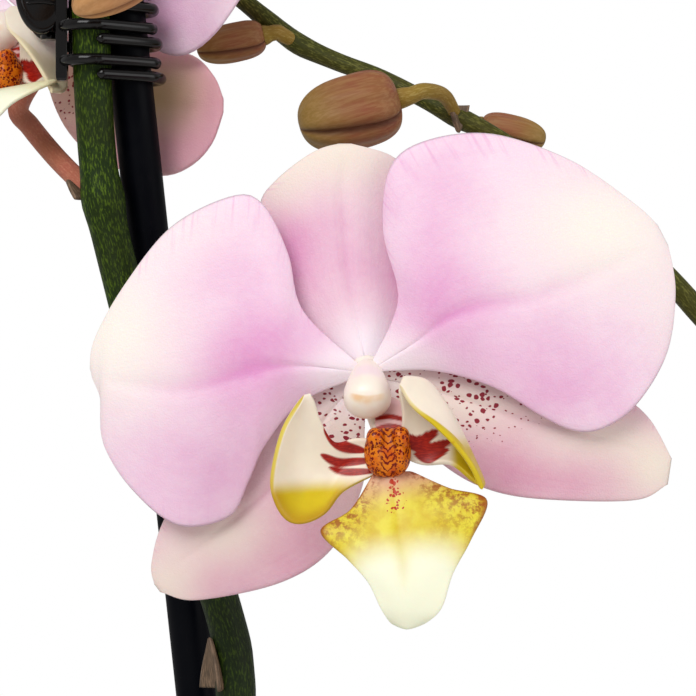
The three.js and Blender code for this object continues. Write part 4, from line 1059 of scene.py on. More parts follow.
# %% [markdown]
# ## Spikes, stalks, bracts and buds
#
# A spike is the plant's flower stem. It is a tube along a smooth path, thicker at each node, and the
# stalks of blooms and buds leave it there under a small scale, the bract. Its skin shows light flecks
# drawn out along the stem, so the streak effect reads the tube's own straightened coordinates. A bud is
# an egg of three sepals that still overlap, with a seam where they meet.

# %% Paths of the spikes
SPIKE_A_PATH = [
    [-3.7, -16.2, 119], [-6, -21.5, 121], [-10, -23.5, 133], [-11.5, -21, 156], [-11, -12, 192],
    [-9.5, -6, 228],
    [-8, -3.6, 262], [-8.2, -4, 300], [-10.2, -4, 314], [-19.8, -4.5, 342], [-27.1, -3.5, 369],
    [-30.2, -3, 383],
    [-31.5, -3, 398], [-32, -4.8, 418], [-33, -8, 450], [-28, -9, 475], [-15, -8, 496], [5, -7, 508],
    [28, -6, 509], [48, -5, 499], [60, -5, 488],
]
SPIKE_A_RADII = [(0, 3.1), (0.62, 3.1), (0.8, 2.4), (1, 1.1)]
SPIKE_B_PATH = [
    [2.6, 3.8, 119.5], [4.6, 9.6, 121.3], [9, 14.5, 133], [17, 16, 157], [37, 14, 195], [67, 11, 242],
    [92, 12, 290],
    [90, 12, 335], [67.2, 10, 365], [51, 10, 380], [36.5, 10, 391.4], [27.4, 11.5, 396.4], [21, 13, 400],
    [14.8, 15, 403.2], [8.5, 16, 405.6], [2.2, 17, 408.5], [-1.8, 18, 411.4], [-6.6, 19, 415.4],
    [-12, 20, 420],
]
SPIKE_B_RADII = [(0, 3), (0.6, 2.6), (0.75, 1.9), (0.86, 1.45), (0.92, 1.5), (0.97, 1.75), (1, 1.2)]
PEDICEL_RADIUS = 1.7
BUD_STALK_RADIUS = 1.4
BRACT_WIDTH = 0.75
BRACT_HALF_THICKNESS = 0.45
CLEARANCE = 0.3
HUB_BACK = (0, 0, -4 - CLEARANCE)


def bloom_stalk(start, bloom, behind):
    """A stalk through points of the plant and then through points in the bloom's own frame."""
    return [*start, *(bloom_point(bloom, local) for local in behind), bloom_point(bloom, HUB_BACK)]


STALKS_A = [
    bloom_stalk([[-15.6, -4.3, 330], [-6, -8, 338], [6, -14, 348]], BLOOMS[0], [(0, 0, -9)]),
    bloom_stalk([[-30.2, -3, 381], [-34.3, 4.2, 384.5]], BLOOMS[1],
                [(12.3, -27, 3.7), (6.9, -23, 1.7), (0.8, -18.4, -1.1), (-4.6, -14.4, -4.2), (-5.6, -9, -8),
                 (-2.4, -3.4, -10.6), (0, 0, -9.6)]),
]
STALKS_B = [
    bloom_stalk([[78, 9, 257], [88, 0, 252], [98, -14, 250]], BLOOMS[2], [(0, 0, -10)]),
    bloom_stalk([[92.5, 12, 318], [104, 16, 318], [115, 14, 321]], BLOOMS[3], [(0, 0, -10)]),
]

# Buds: a point on the spike, points on the way, foot, tip and width
BUD_SHAPES = dict(a=dict(bluntness=1.8, seam_turn=0.28), b=dict(bluntness=2.5, seam_turn=0.62))
BUD_LEAN = 0.8
BUDS = dict(
    a1=([-32.3, -6, 430], [[-27, -12, 431], [-19, -20, 426.5]], [-19.5, -22, 419], [-32.7, -22, 409.2], 9.8),
    a2=([-32.6, -8.4, 456], [[-38, -12, 460]], [-43, -15, 459], [-53, -20, 452], 9.5),
    a3=([-20, -8.5, 489], [[-22, -14, 494]], [-23, -18, 496], [-26, -27, 492], 8.5),
    a4=([14, -6.6, 509.5], [[17, -10, 515]], [19, -13, 517], [23, -20, 516], 7),
    a5=([44, -5.2, 501.5], [[48, -4, 506]], [51, -3, 507.5], [58, -2, 507.5], 5.6),
    b1=([1.8, 17.1, 408.8], [[-1, 15.8, 410.2]], [-4.1, 15.5, 410.2], [-15.7, 16, 407.6], 7),
    b2=([28.4, 11.2, 395.9], [[26, 6.4, 399], [22.6, 2.4, 399.4]], [18.4, 1, 398], [2, 1, 393.4], 13),
    b3=([30.6, 11, 394.5], [[30.2, 15.6, 395.6]], [32.6, 18.2, 394.9], [43.8, 18.2, 392.6], 6.4),
    b4=([-9.6, 19.6, 418], [[-10.6, 22, 421]], [-11.4, 23.6, 423], [-13.6, 26, 428], 4.4),
)
# Bracts: place on the spike, direction and length
BRACTS_A = [
    ([-13.3, -4.2, 322], (-0.9, -0.3, 0.9), 7), ([-32.6, -2.4, 381.2], (-0.8, 0.35, 0.75), 5),
    ([-10.6, -4.4, 301.6], (-0.22, -0.12, 1), 8.8), ([-9, -4.6, 240], (0.6, -0.8, 0.9), 12),
]
BRACTS_B = [
    ([43.2, 11.2, 205], (-0.3, -0.8, 0.9), 12), ([28.2, 10.3, 397.8], (0.1, -0.16, -1), 4.8),
]


# %% Bodies of the spikes
JOINT_REACH = 3
JOINT_SWELL = 0.12


def spike(path, radii, joints):
    """The main stem. Near each joint its radius swells by 12 per cent, in a bell along the stem."""
    s = np.linspace(0, 1, 400)
    line = by_length(path, s)
    swell = sum(JOINT_SWELL * bell(np.linalg.norm(line - np.asarray(joint), axis=1), JOINT_REACH)
                for joint in joints)
    radius = lambda at: np.interp(at, *zip(*radii)) * (1 + np.interp(at, s, swell))
    return tube(path, radius, rows=320, sides=24)


def pedicel(path):
    """The stalk of a bloom, a little thicker towards the bloom."""
    return tube(path, lambda s: PEDICEL_RADIUS + 0.2 * s, rows=90, sides=20, paint=3)


def bud_stalk(start, by, foot, tip):
    """Comes in along the bud's own axis, flares a little, and meets its foot."""
    foot, axis = np.asarray(foot, float), unit(np.subtract(tip, foot))
    path = [start, *by, foot - 2 * axis, foot + 0.2 * axis]
    radius = lambda s: BUD_STALK_RADIUS - 0.45 * (1 - s) ** 2 + 0.35 * smooth(s, 0.8, 1)
    return tube(path, radius, rows=60, sides=20, paint=1)


def bract(at, toward, length):
    """A pointed scale that clasps the stem: its width falls as 1.04 - s^1.6, and its sides bend back."""
    lean = unit(np.asarray(toward, float))
    up = np.array([0, 0, 1.0])
    side = unit(np.cross(up, lean))
    out = -unit(np.cross(side, up))
    width = BRACT_WIDTH * length
    s, t = np.meshgrid(eased(24), eased(18), indexing="ij")
    across = 2 * t - 1
    middle = np.asarray(at) + lean * (s * length)[..., None]
    middle = middle + side * (across * width * (1.04 - s**1.6) / 2)[..., None]
    middle = middle + out * (-0.35 * width * across**2 * (1 - s))[..., None]
    half = BRACT_HALF_THICKNESS * rim_shape(s, t, 12)[..., None]
    return sheet_body(middle, half, s, t, stacked(across * width / 2, 0, s * length), paint=2)


def bud(foot, tip, width, bluntness, seam_turn):
    """An egg: radius (width / 2) (1 - |2 s^lean - 1|^b)^(1 / b), flattened by 8 per cent, with three seams
    that dip in. The larger the bluntness b, the rounder its ends. seam_turn is a share of a third turn."""
    foot = np.asarray(foot, float)
    axis = np.subtract(tip, foot)
    length = np.linalg.norm(axis)
    axis = axis / length
    side = unit(np.cross(axis, [0, 0, 1.0]))
    up = np.cross(side, axis)
    s = eased(70, 0.7)
    angle = circle(72)
    swell = (1 - np.abs(2 * np.clip(s, 0.001, 0.999) ** BUD_LEAN - 1) ** bluntness) ** (1 / bluntness)
    seam = np.abs((angle / FULL_TURN * 3 + seam_turn + 0.18 * s[:, None]) % 1 - 0.5)
    fold = 0.98 - 0.1 * bell(seam, 0.035) + 0.05 * smooth(seam, 0.0, 0.1)
    r = width / 2 * swell[:, None] * (fold + 0.03 * np.cos(6 * np.pi * (seam + 0.5)))
    x, y = r * np.cos(angle), r * np.sin(angle)
    along = (s * length)[:, None]
    rings = foot + axis * along[..., None] + side * x[..., None] + up * (0.92 * y)[..., None]
    share = stacked(s[:, None], angle / FULL_TURN, 0)
    return ring_body(rings, foot, foot + axis * length, stacked(x, y, along), share, seam=bell(seam, 0.06))


# %% Finishes of stems, bracts and buds
# Painted shade: a near-black green mixed over the lowest stretch of a stem, darkest towards its foot.
STEM_PAINTED_SHADE = rgb(12, 20, 8)
BUD_SEAM = rgb(76, 38, 28)


def stem_material(name, dark, light, flush, painted_shade_span=None):
    """Green with light flecks along the stem and a flush in clouds. Given a span of lengths along the stem,
    the colour is darkened below it as painted shade, fading out across the span.
    """
    material, place = new_material(name, Roughness=0.5, Specular_IOR_Level=0.15)
    flecks, height = streaks_at(place, (3.6, 3.6, 0.9), 0.48, 0.68)
    color = mixed(flecks * 0.6, dark, light)
    color = mixed(cloud_at(place, 9.0) * 0.45, color, flush)
    if painted_shade_span:
        # Painted shade: 0.6 of the dark colour below the span's first length, none past its second.
        color = mixed(ranged(parts_of(place)[2], *painted_shade_span, 0.6, 0.0), color, STEM_PAINTED_SHADE)
    return finish_material(material, color, height, 0.5, 0.25)


def bract_material():
    """Dry tan with fine fibres."""
    material, place = new_material("bract_tan", Roughness=0.6)
    dark, light = rgb(78, 60, 42), rgb(128, 102, 78)
    fibre, height = streaks_at(place, (5.0, 5.0, 0.5), 0.4, 0.7)
    return finish_material(material, mixed(fibre, dark, light), height, 0.4, 0.15)


def bud_material(name, brown, mauve, olive, pale):
    """Brown and mauve, olive towards the tip, with long streaks and a darker seam."""
    material, place = new_material(name, Roughness=0.5, Specular_IOR_Level=0.2)
    along = parts_of(own(place.tree, "share"))[0]
    lines, height = streaks_at(place, (2.2, 2.2, 0.18), 0.4, 0.65)
    cloud = cloud_at(place, 5.0)
    color = mixed(ranged(along, 0.35, 1.0) * 0.7 + cloud * 0.1, mixed(cloud, brown, mauve), olive)
    color = mixed(lines * 0.3, color, pale)
    color = mixed(mark(place, "seam") * 0.8, color, BUD_SEAM)
    return finish_material(material, color, height, 0.3, 0.2)


# Spike A's stem, with painted shade over its lowest 195 to 265 mm.
green_stem = stem_material("stem_green", rgb(22, 42, 0), rgb(102, 130, 24), rgb(30, 34, 2), painted_shade_span=(195, 265))
olive_stem = stem_material("stem_olive", rgb(56, 60, 14), rgb(132, 132, 62), rgb(72, 62, 24))
stalk_paint = stem_material("stalk_olive", rgb(138, 112, 44), rgb(176, 154, 90), rgb(124, 80, 46))
pedicel_paint = stem_material("stalk_red", rgb(166, 94, 76), rgb(192, 130, 106), rgb(160, 108, 72))
bract_paint = bract_material()
BUD_PAINTS = dict(
    a=bud_material("bud_tan", rgb(180, 126, 82), rgb(166, 110, 78), rgb(186, 138, 86), rgb(202, 156, 110)),
    b=bud_material("bud_brown", rgb(136, 90, 54), rgb(132, 66, 50), rgb(140, 118, 54), rgb(168, 132, 88)),
)

# %% Place spikes and buds
SPIKES = dict(a=(SPIKE_A_PATH, SPIKE_A_RADII, STALKS_A, BRACTS_A, green_stem),
              b=(SPIKE_B_PATH, SPIKE_B_RADII, STALKS_B, BRACTS_B, olive_stem))
for letter, (path, radii, stalks, bracts, stem_paint) in SPIKES.items():
    buds = {name: values for name, values in BUDS.items() if name[0] == letter}
    joints = [values[0] for values in (*stalks, *buds.values(), *bracts)]
    shells = [spike(path, radii, joints)]
    shells += [pedicel(stalk) for stalk in stalks]
    shells += [bud_stalk(*values[:4]) for values in buds.values()]
    shells += [bract(*values) for values in bracts]
    dress("spike_" + letter, shells, [stem_paint, stalk_paint, bract_paint, pedicel_paint])
    for name, values in buds.items():
        dress("bud_" + name, [bud(*values[2:], **BUD_SHAPES[letter])], [BUD_PAINTS[letter]])
print("buds:", len(BUDS))

# %% [markdown]
# ## Leaves, crown and roots
#
# A moth orchid has a few thick strap leaves in two ranks, folded a little along the midrib, and grey
# roots with a green tip that creep over the bark. A leaf is a flat strip bent along an arch: its
# half-width opens quickly from the base and closes in a round tip. That keeps it one smooth surface.

# %% Leaves
CROWN = dict(x=0, y=-6, radius=9, foot=72, shoulder=145, top=152)
LEAF_HALF_THICKNESS = 1.7
LEAVES = [
    dict(azimuth=-19, base=122, length=168, width=62, rise=22, tip=2),
    dict(azimuth=163, base=124, length=160, width=60, rise=26, tip=6),
    dict(azimuth=-8, base=129, length=146, width=56, rise=42, tip=28),
    dict(azimuth=172, base=131, length=138, width=54, rise=46, tip=34),
    dict(azimuth=-20, base=136, length=104, width=42, rise=48, tip=52),
    dict(azimuth=167, base=141, length=74, width=30, rise=44, tip=54),
]
# The arch of a leaf: shares of its length, of its rise and of the height of its tip
LEAF_ARCH = [(0, 0, 0), (0.1, 0.42, 0), (0.36, 1, 0), (0.66, 0.45, 0.6), (0.94, 0, 1)]
LEAF_DROOP = 4
LEAF_FOLD = 0.24
LEAF_GROOVE = dict(depth=0.5, reach=1.6)
LEAF_GREEN = dict(deep=rgb(38, 74, 28), light=rgb(66, 104, 44), vein=rgb(96, 130, 62),
                  midrib=rgb(122, 150, 84), underside=rgb(124, 142, 88))


def heading(azimuth):
    """The level direction at an azimuth in degrees, and the one square to it."""
    angle = math.radians(azimuth)
    return np.array([math.cos(angle), math.sin(angle), 0]), np.array([-math.sin(angle), math.cos(angle), 0])


def leaf_shape(s):
    """Half-width as a share: 0.24 + 0.76 sin(pi s) up to the middle, then sqrt(1 - 0.975 x^2.4)."""
    opening = 0.24 + 0.76 * np.sin(np.pi / 2 * np.minimum(1, s / 0.5))
    closing = np.sqrt(1 - 0.975 * np.clip((s - 0.5) / 0.5, 0, 1) ** 2.4)
    return opening * closing


def leaf(azimuth, base, length, width, rise, tip):
    """A strip along an arch. Its sides are lifted by a share of the distance from the midrib, which lies
    in a groove, and its foot wraps round the crown."""
    outward, side = heading(azimuth)
    slope = math.atan2(LEAF_ARCH[1][1] * rise, LEAF_ARCH[1][0] * length)
    clasp = CROWN["radius"] + 2 * CLEARANCE + LEAF_HALF_THICKNESS * math.sin(slope)
    centre = np.array([CROWN["x"], CROWN["y"], base])
    arch = [centre + outward * (clasp + far * length) + [0, 0, high * rise + low * tip]
            for far, high, low in LEAF_ARCH]
    arch[-1][2] -= LEAF_DROOP
    rows = eased(110, 0.6)
    line = by_length(arch, rows)
    s, t = np.meshgrid(rows, eased(40, 0.6), indexing="ij")
    across = 2 * t - 1
    half = width / 2 * leaf_shape(s)
    offset = half * across
    held = np.maximum(0, 1 - s / 0.1)
    wrapped = clasp - np.sqrt(clasp**2 - np.minimum(np.abs(offset), clasp) ** 2)
    middle = line[:, None] + side * offset[..., None] - outward * (wrapped * held)[..., None]
    groove = bell(offset, LEAF_GROOVE["reach"]) * smooth(s, 0.02, 0.15) * smooth(s, 1.0, 0.8)
    lift = LEAF_FOLD * half * across**2 + 0.6 * np.sin(7 * s) * across - LEAF_GROOVE["depth"] * groove
    thick = (LEAF_HALF_THICKNESS - 0.8 * s) * rim_shape(s, t, 14)
    return sheet_body(middle + stacked(0, 0, lift), thick[..., None], s, t, stacked(offset, 0, s * length))


def leaf_material():
    """Deep green with a pale midrib, close parallel veins and a waxy shine. The underside is paler."""
    material, place = new_material("leaf_green", Coat_Weight=0.25, Coat_Roughness=0.22)
    across, face = parts_of(own(place.tree, "share"))[1:]
    veins, height = streaks_at(place, (1.4, 1.0, 0.03), 0.35, 0.65)
    cloud = cloud_at(place, 22.0)
    midrib = ranged(abs(across - 0.5), 0.03, 0.005)
    behind = ranged(face, 0.5, -0.5, 0.0, 0.45)
    color = mixed(cloud, LEAF_GREEN["deep"], LEAF_GREEN["light"])
    color = mixed(veins * 0.25, color, LEAF_GREEN["vein"])
    color = mixed(midrib * 0.5, color, LEAF_GREEN["midrib"])
    color = mixed(behind, color, LEAF_GREEN["underside"])
    return finish_material(material, color, height, 0.35, 0.3, ranged(cloud, 0.0, 1.0, 0.34, 0.46))


leaf_paint = leaf_material()
for number, values in enumerate(LEAVES, 1):
    dress(f"leaf_{number}", [leaf(**values)], [leaf_paint])
print("leaves:", len(LEAVES))

# %% Crown and roots
LEAF_SCARS = dict(depth=0.35, pitch=7.5)
ROOT_RADIUS = 2.6
ROOTS = [
    dict(azimuth=22, reach=41, height=111), dict(azimuth=150, reach=38, height=112),
    dict(azimuth=205, reach=42, height=110), dict(azimuth=282, reach=33, height=110),
    dict(azimuth=325, reach=38, height=112),
]
# The path of a root: shares of its reach, and millimetres above its height at the crown
ROOT_ARCH = [(0, 0), (0.25, 3.5), (0.62, 1), (0.86, -9), (0.9, -22)]


def crown():
    """A short stem, turned from a profile, with a shallow ring where each leaf sat."""
    radius, foot, shoulder, top = (CROWN[key] for key in ("radius", "foot", "shoulder", "top"))
    corners = [[0, foot], [radius - 2, foot], [radius, foot + 8], [radius, shoulder], [radius - 3.5, top - 6],
               [2.5, top], [0, top]]
    profile = rounded(corners, 2.5, 6)
    height = np.linspace(foot + 12, shoulder - 3, 60)
    scar = (0.5 + 0.5 * np.cos(FULL_TURN * height / LEAF_SCARS["pitch"])) ** 6
    below, above = (np.searchsorted(profile[:, 1], level) for level in (foot + 11, shoulder - 2.6))
    rings = stacked(radius - LEAF_SCARS["depth"] * scar, height)
    profile = np.concatenate([profile[:below], rings, profile[above:]])
    return moved(turned(profile, 64), place=(CROWN["x"], CROWN["y"], 0))


def root(azimuth, reach, height):
    """A tube that creeps out over the bark and dives into it. It thins by half a millimetre on the way."""
    outward = heading(azimuth)[0]
    start = CROWN["radius"] + CLEARANCE + 0.35 * ROOT_RADIUS
    path = [np.array([CROWN["x"], CROWN["y"], height + up]) + outward * (start + far * reach)
            for far, up in ROOT_ARCH]
    return tube(path, lambda s: ROOT_RADIUS - 0.5 * s + 0.06 * np.sin(60 * s + azimuth), rows=90, sides=24)


def rough_material(name, roughness, cloud_size, tones, streak, share, top_tone, relief):
    """Two tones in clouds under streaks of a third one, and a relief that follows the streaks."""
    material, place = new_material(name, Roughness=roughness)
    grain, height = streaks_at(place, *streak)
    color = mixed(grain * share, mixed(cloud_at(place, cloud_size), *tones), top_tone)
    return finish_material(material, color, height, *relief)


# Silver grey velamen, with green showing through in patches
root_paint = rough_material(
    "root_velamen", 0.75, 6.0, (rgb(196, 200, 184), rgb(128, 148, 98)), ((2.5, 2.5, 0.8), 0.35, 0.7),
    0.4, rgb(222, 222, 208), (0.5, 0.3))
dress("crown", [crown()], [leaf_paint])
for number, values in enumerate(ROOTS, 1):
    dress(f"root_{number}", [root(**values)], [root_paint])
print("roots:", len(ROOTS))

# %% [markdown]
# ## Pot and bark
#
# The pot is a plain white glazed cachepot, turned from a profile with soft corners. The bark is a bed
# with coarse chips on it. Each chip is a ball pulled out towards a box and roughened by a few sine
# waves, which is lighter than a sculpted chip and never repeats.

# %% Pot
POT_HEIGHT = 118
POT_TOP_RADIUS = 62
POT_FOOT_RADIUS = 46
POT_WALL = 4
POT_FLOOR = 5
POT_FOOT_BEVEL = 2
POT_RIM_BEVEL = 1.5
POT_BAND = 10
GLAZE = dict(light=rgb(236, 233, 226), deep=rgb(232, 229, 221), speck=rgb(150, 132, 112))


def pot_inner_radius(z):
    """The inner radius of the pot at a height, along its straight wall."""
    share = (z - POT_FLOOR) / (POT_HEIGHT - POT_FLOOR)
    return POT_FOOT_RADIUS - POT_WALL + share * (POT_TOP_RADIUS - POT_FOOT_RADIUS)


def pot():
    """A profile turned round: the foot, the wall, a raised band under the rim, and the inside down to the
    floor."""
    top, wide, soft = POT_HEIGHT, POT_TOP_RADIUS, POT_RIM_BEVEL
    corners = [
        [0, 0], [POT_FOOT_RADIUS - POT_FOOT_BEVEL, 0], [POT_FOOT_RADIUS, POT_FOOT_BEVEL],
        [wide - soft, top - POT_BAND - 2], [wide, top - POT_BAND], [wide, top - soft], [wide - soft, top],
        [wide - POT_WALL + soft, top], [pot_inner_radius(top - 4), top - 4],
        [pot_inner_radius(POT_FLOOR), POT_FLOOR], [0, POT_FLOOR],
    ]
    return turned(rounded(corners, 1.4, 6), 128)


def pot_material():
    """White glaze with a few tiny iron specks, faint turning lines and a clear coat."""
    material, place = new_material("pot_glaze", Coat_Weight=0.6, Coat_Roughness=0.08)
    cloud = cloud_at(place, 30.0)
    color = mixed(cloud, GLAZE["light"], GLAZE["deep"])
    color = mixed(spots_at(place, 6.0, 0.07, 2.0) * 0.5, color, GLAZE["speck"])
    lines = noise(on_vector("MULTIPLY", place, (0.01, 0.01, 0.8)))
    return finish_material(material, color, lines, 0.06, 0.2, ranged(cloud, 0.0, 1.0, 0.18, 0.22))


dress("pot", [pot()], [pot_material()])
print("pot:", POT_HEIGHT, "mm high")

# %% Bark
BARK_EDGE_HEIGHT = 99
BARK_MIDDLE_HEIGHT = 104
CHIP_COUNT = 30
CHIP_SIZE = (21, 13, 7)
CHIP_REACH = 45
CHIP_TILT = 0.7
CHIP_VARIETY = dict(smallest=0.8, size=0.4, height=0.5, lift=0.6)
CHIP_SEED = 7
GOLDEN_ANGLE = 2.399963
SMALL_CHIP_COUNT = 110
SMALL_CHIP_SIZE = (10, 6.5, 4.5)
SMALL_CHIP_REACH = CHIP_REACH + 6
ROOM = dict(crown=5, stake=4)
STAKE = dict(radius=3.5, foot=58, top=455, x=4.6, y=22, z=105, lean_x=-0.1024, lean_y=-0.0693)
ROLL = dict(factor=1664525, step=1013904223, end=2**32)


def stake_at(z):
    """The middle of the stake at a height."""
    climb = z - STAKE["z"]
    return np.array([STAKE["x"] + STAKE["lean_x"] * climb, STAKE["y"] + STAKE["lean_y"] * climb, z])


def rolls(seed, count):
    """A repeatable row of numbers from 0 to 1: each state is the last one times a factor plus a step."""
    states = [seed]
    while len(states) <= count:
        states.append((states[-1] * ROLL["factor"] + ROLL["step"]) % ROLL["end"])
    return np.array(states[1:]) / ROLL["end"]


def chip(random, place, size, turns):
    """One chip: a boxy ball, roughened by sine waves along and across it, turned about x, y and z in turn."""
    waves = random.uniform(2, 6, (4, 3))
    shifts = random.uniform(0, FULL_TURN, 4)

    def rough(cube):
        push = sum(np.sin(cube @ wave + shift) for wave, shift in zip(waves, shifts))
        return cube * (1 + 0.05 * push)[..., None]

    made = blob((0, 0, 0), np.asarray(size) / 2, 0.4, rows=11, sides=18, shape=rough)
    turn = turn_about("z", turns[2]) @ turn_about("y", turns[1]) @ turn_about("x", turns[0])
    return {**moved(made, turn, place), "own": made["own"] + random.uniform(0, 90, 3)}


def spiral(number, count, reach):
    """A place on a sunflower spiral, and the height of the bed there."""
    distance = reach * math.sqrt((number + 0.5) / count)
    level = BARK_MIDDLE_HEIGHT + (BARK_EDGE_HEIGHT + 1 - BARK_MIDDLE_HEIGHT) * distance / reach
    return distance * math.cos(number * GOLDEN_ANGLE), distance * math.sin(number * GOLDEN_ANGLE), level


def bed():
    """The bark under its chips, a profile turned round that fills the pot."""
    foot = POT_FLOOR + CLEARANCE
    low, high = (pot_inner_radius(z) - CLEARANCE for z in (foot, BARK_EDGE_HEIGHT))
    corners = [[0, foot], [low, foot], [high, BARK_EDGE_HEIGHT - 1], [0, BARK_MIDDLE_HEIGHT - 1]]
    return turned(rounded(corners, 3), 64)


def bark():
    """A bed under the large chips of the solid, with small chips in the gaps, clear of stem and stake."""
    random = np.random.default_rng(CHIP_SEED)
    shells = [bed()]
    smallest, wider, taller, higher = CHIP_VARIETY.values()
    for number, roll in enumerate(rolls(CHIP_SEED, 6 * CHIP_COUNT).reshape(-1, 6)):
        size, tall, x_turn, y_turn, z_turn, lift = roll
        x, y, level = spiral(number, CHIP_COUNT, CHIP_REACH)
        box = np.array(CHIP_SIZE) * (smallest + wider * size)
        box[2] = CHIP_SIZE[2] * (smallest + taller * tall)
        turns = np.degrees([CHIP_TILT * (x_turn - 0.5), CHIP_TILT * (y_turn - 0.5), np.pi * z_turn])
        shells.append(chip(random, (x, y, level + higher * lift), box, turns))
    keep_off = [(CROWN["x"], CROWN["y"], CROWN["radius"] + ROOM["crown"]),
                (*stake_at(BARK_MIDDLE_HEIGHT)[:2], STAKE["radius"] + ROOM["stake"])]
    for number in range(SMALL_CHIP_COUNT):
        x, y, level = spiral(number + 0.5, SMALL_CHIP_COUNT, SMALL_CHIP_REACH)
        if all(math.hypot(x - a, y - b) > room for a, b, room in keep_off):
            place = (x, y, level + random.uniform(0.5, 2.5))
            size = np.array(SMALL_CHIP_SIZE) * random.uniform(0.7, 1.1)
            shells.append(chip(random, place, size, random.uniform(-25, 25, 3) * (1, 1, 7)))
    return shells


# Pine bark: rust and grey in layers, dark in the pits
bark_paint = rough_material(
    "bark_chips", 0.88, 9.0, (rgb(92, 56, 36), rgb(128, 92, 66)), ((0.25, 0.5, 1.6), 0.35, 0.65),
    1.0, rgb(70, 42, 30), (0.8, 0.8))
dress("bark", bark(), [bark_paint])
print("bark:", CHIP_COUNT, "large chips, and small ones in the gaps")

# %% [markdown]
# ## Stake and claw clip
#
# The stake is a straight plastic rod with a satin skin. A small claw clip holds the spike to it: two
# jaws on a pin, each with three round fingers that reach round both stems, and an oval plate to squeeze.
# The front jaw turns about the pin, so it is a piece of its own on its own body. Moulded plastic looks
# right when the edges are soft and the gloss varies a little.


# %% Stake
def stake():
    """A rod turned from a profile, and leaned so that its axis runs from the foot to the top."""
    foot, top = stake_at(STAKE["foot"]), stake_at(STAKE["top"])
    length = np.linalg.norm(top - foot)
    radius, bevel = STAKE["radius"], 1.2
    corners = [[0, 0], [radius, 0], [radius, length - bevel], [radius - bevel, length], [0, length]]
    profile = rounded(corners, 0.6, 4)
    between = stacked(radius, np.linspace(2, length - 3, 30))
    profile = np.concatenate([profile[:6], between, profile[6:]])
    up = unit(top - foot)
    side = unit(np.cross([0, 1.0, 0], up))
    return moved(turned(profile, 48), np.stack([side, np.cross(up, side), up], axis=1), foot)


def plastic_material(name, dark, light, low, high, mirror):
    """Black plastic whose tone and roughness vary in soft clouds, with a fine moulded grain."""
    material, place = new_material(name, Specular_IOR_Level=mirror)
    cloud = cloud_at(place, 7.0)
    roughness = ranged(cloud, 0.0, 1.0, low, high)
    return finish_material(material, mixed(cloud, dark, light), noise(place, 4.0), 0.06, 0.1, roughness)


stake_paint = plastic_material("stake_plastic", rgb(2, 3, 8), rgb(6, 7, 12), 0.38, 0.5, 0.05)
clip_paint = plastic_material("clip_plastic", rgb(9, 7, 7), rgb(14, 12, 12), 0.07, 0.13, 0.26)
dress("stake", [stake()], [stake_paint])
print("stake:", STAKE["top"] - STAKE["foot"], "mm")

# %% Claw clip
HINGE = (-38.8, -0.4)
PIN_RADIUS = 0.8
KNUCKLE_RADIUS = 1.9
FINGER_RADIUS = 0.95
FINGER_ROOM = 0.45
CLIP_BOTTOM = 408.6
CLIP_TOP = 418.8
SPINE = dict(start=1.4, end=3.3, near=2.7, far=5.2)
WEB = dict(start=-0.6, end=2.4, near=1.5, far=4)
SPIKE_RADIUS = 3.1
FRONT = dict(side=1, foot=400.4, fingers=[403.6, 409.2, 414.8], knuckles=[[412, 415.4]], sweep=(215, 345))
REAR = dict(side=-1, foot=403.9, fingers=[401.3, 406.9, 412.5], knuckles=[[408.6, 411.6], [415.8, 418.8]],
            sweep=(122, -75))
PADDLE = dict(width=8.6, height=15, thickness=1.6, middle=415.4, inset=1, away=4.6, splay=16)
# The plate from its middle outside, over the rim, to its middle inside: shares of its radius and thickness
PADDLE_PROFILE = [(0.25, 0.36), (0.5, 0.36), (0.7, 0.36), (0.8, 0.38), (0.86, 0.5), (0.92, 0.5), (0.97, 0.42),
                  (1.0, 0), (0.97, -0.42), (0.9, -0.5), (0.7, -0.5), (0.4, -0.5)]
RIBS = dict(heights=(-2.6, 0, 2.6), radius=0.38, reach=0.3, bow=0.3)


def spike_a_at(z):
    """The middle of spike A at a height above the bend near its foot."""
    line = curve(SPIKE_A_PATH, np.linspace(0.2, 0.8, 3000))
    line = line[: int(np.argmax(line[:, 2])) + 1]
    return np.array([np.interp(z, line[:, 2], line[:, axis]) for axis in (0, 1)] + [z])


def around_stems(z, degrees):
    """Points off both stems, each in a compass direction from whichever stem reaches further that way."""
    angle = np.radians(degrees)
    direction = stacked(np.cos(angle), np.sin(angle), 0)
    middles, radii = np.stack([spike_a_at(z), stake_at(z)]), np.array([SPIKE_RADIUS, STAKE["radius"]])
    further = np.argmax(middles @ direction.T + radii[:, None], axis=0)
    return middles[further] + direction * (radii[further] + FINGER_RADIUS + FINGER_ROOM)[:, None]


def finger(z, start, sweep):
    """A bent rod from the spine round both stems, with a rounded tip."""
    path = np.concatenate([[start], around_stems(z, np.linspace(*sweep, 10))])
    radius = lambda s: FINGER_RADIUS * np.sqrt(np.clip(1 - smooth(s, 0.965, 1.0) ** 2, 0.02, 1))
    return tube(path, radius, rows=90, sides=16, spread=0.4)


def knuckle(bottom, top):
    """A ring about the pin: its outside, top, bore and bottom as one profile, joined end to end."""
    bore = PIN_RADIUS + CLEARANCE
    corners = rounded([[bore, bottom], [KNUCKLE_RADIUS, bottom], [KNUCKLE_RADIUS, top], [bore, top]], 0.3, 4)
    angle = circle(36)
    r, z = corners[:, 0][:, None], corners[:, 1][:, None]
    rings = stacked(HINGE[0] + r * np.cos(angle), HINGE[1] + r * np.sin(angle), z)
    ring = np.arange(r.size * angle.size).reshape(r.size, angle.size)
    ahead, above = np.roll(ring, -1, axis=1), np.roll(ring, -1, axis=0)
    quads = stacked(ring, ahead, np.roll(above, -1, axis=1), above).reshape(-1, 4)
    flat = rings.reshape(-1, 3)
    return body(flat, quads, np.zeros((0, 3), int), flat, 0 * flat)


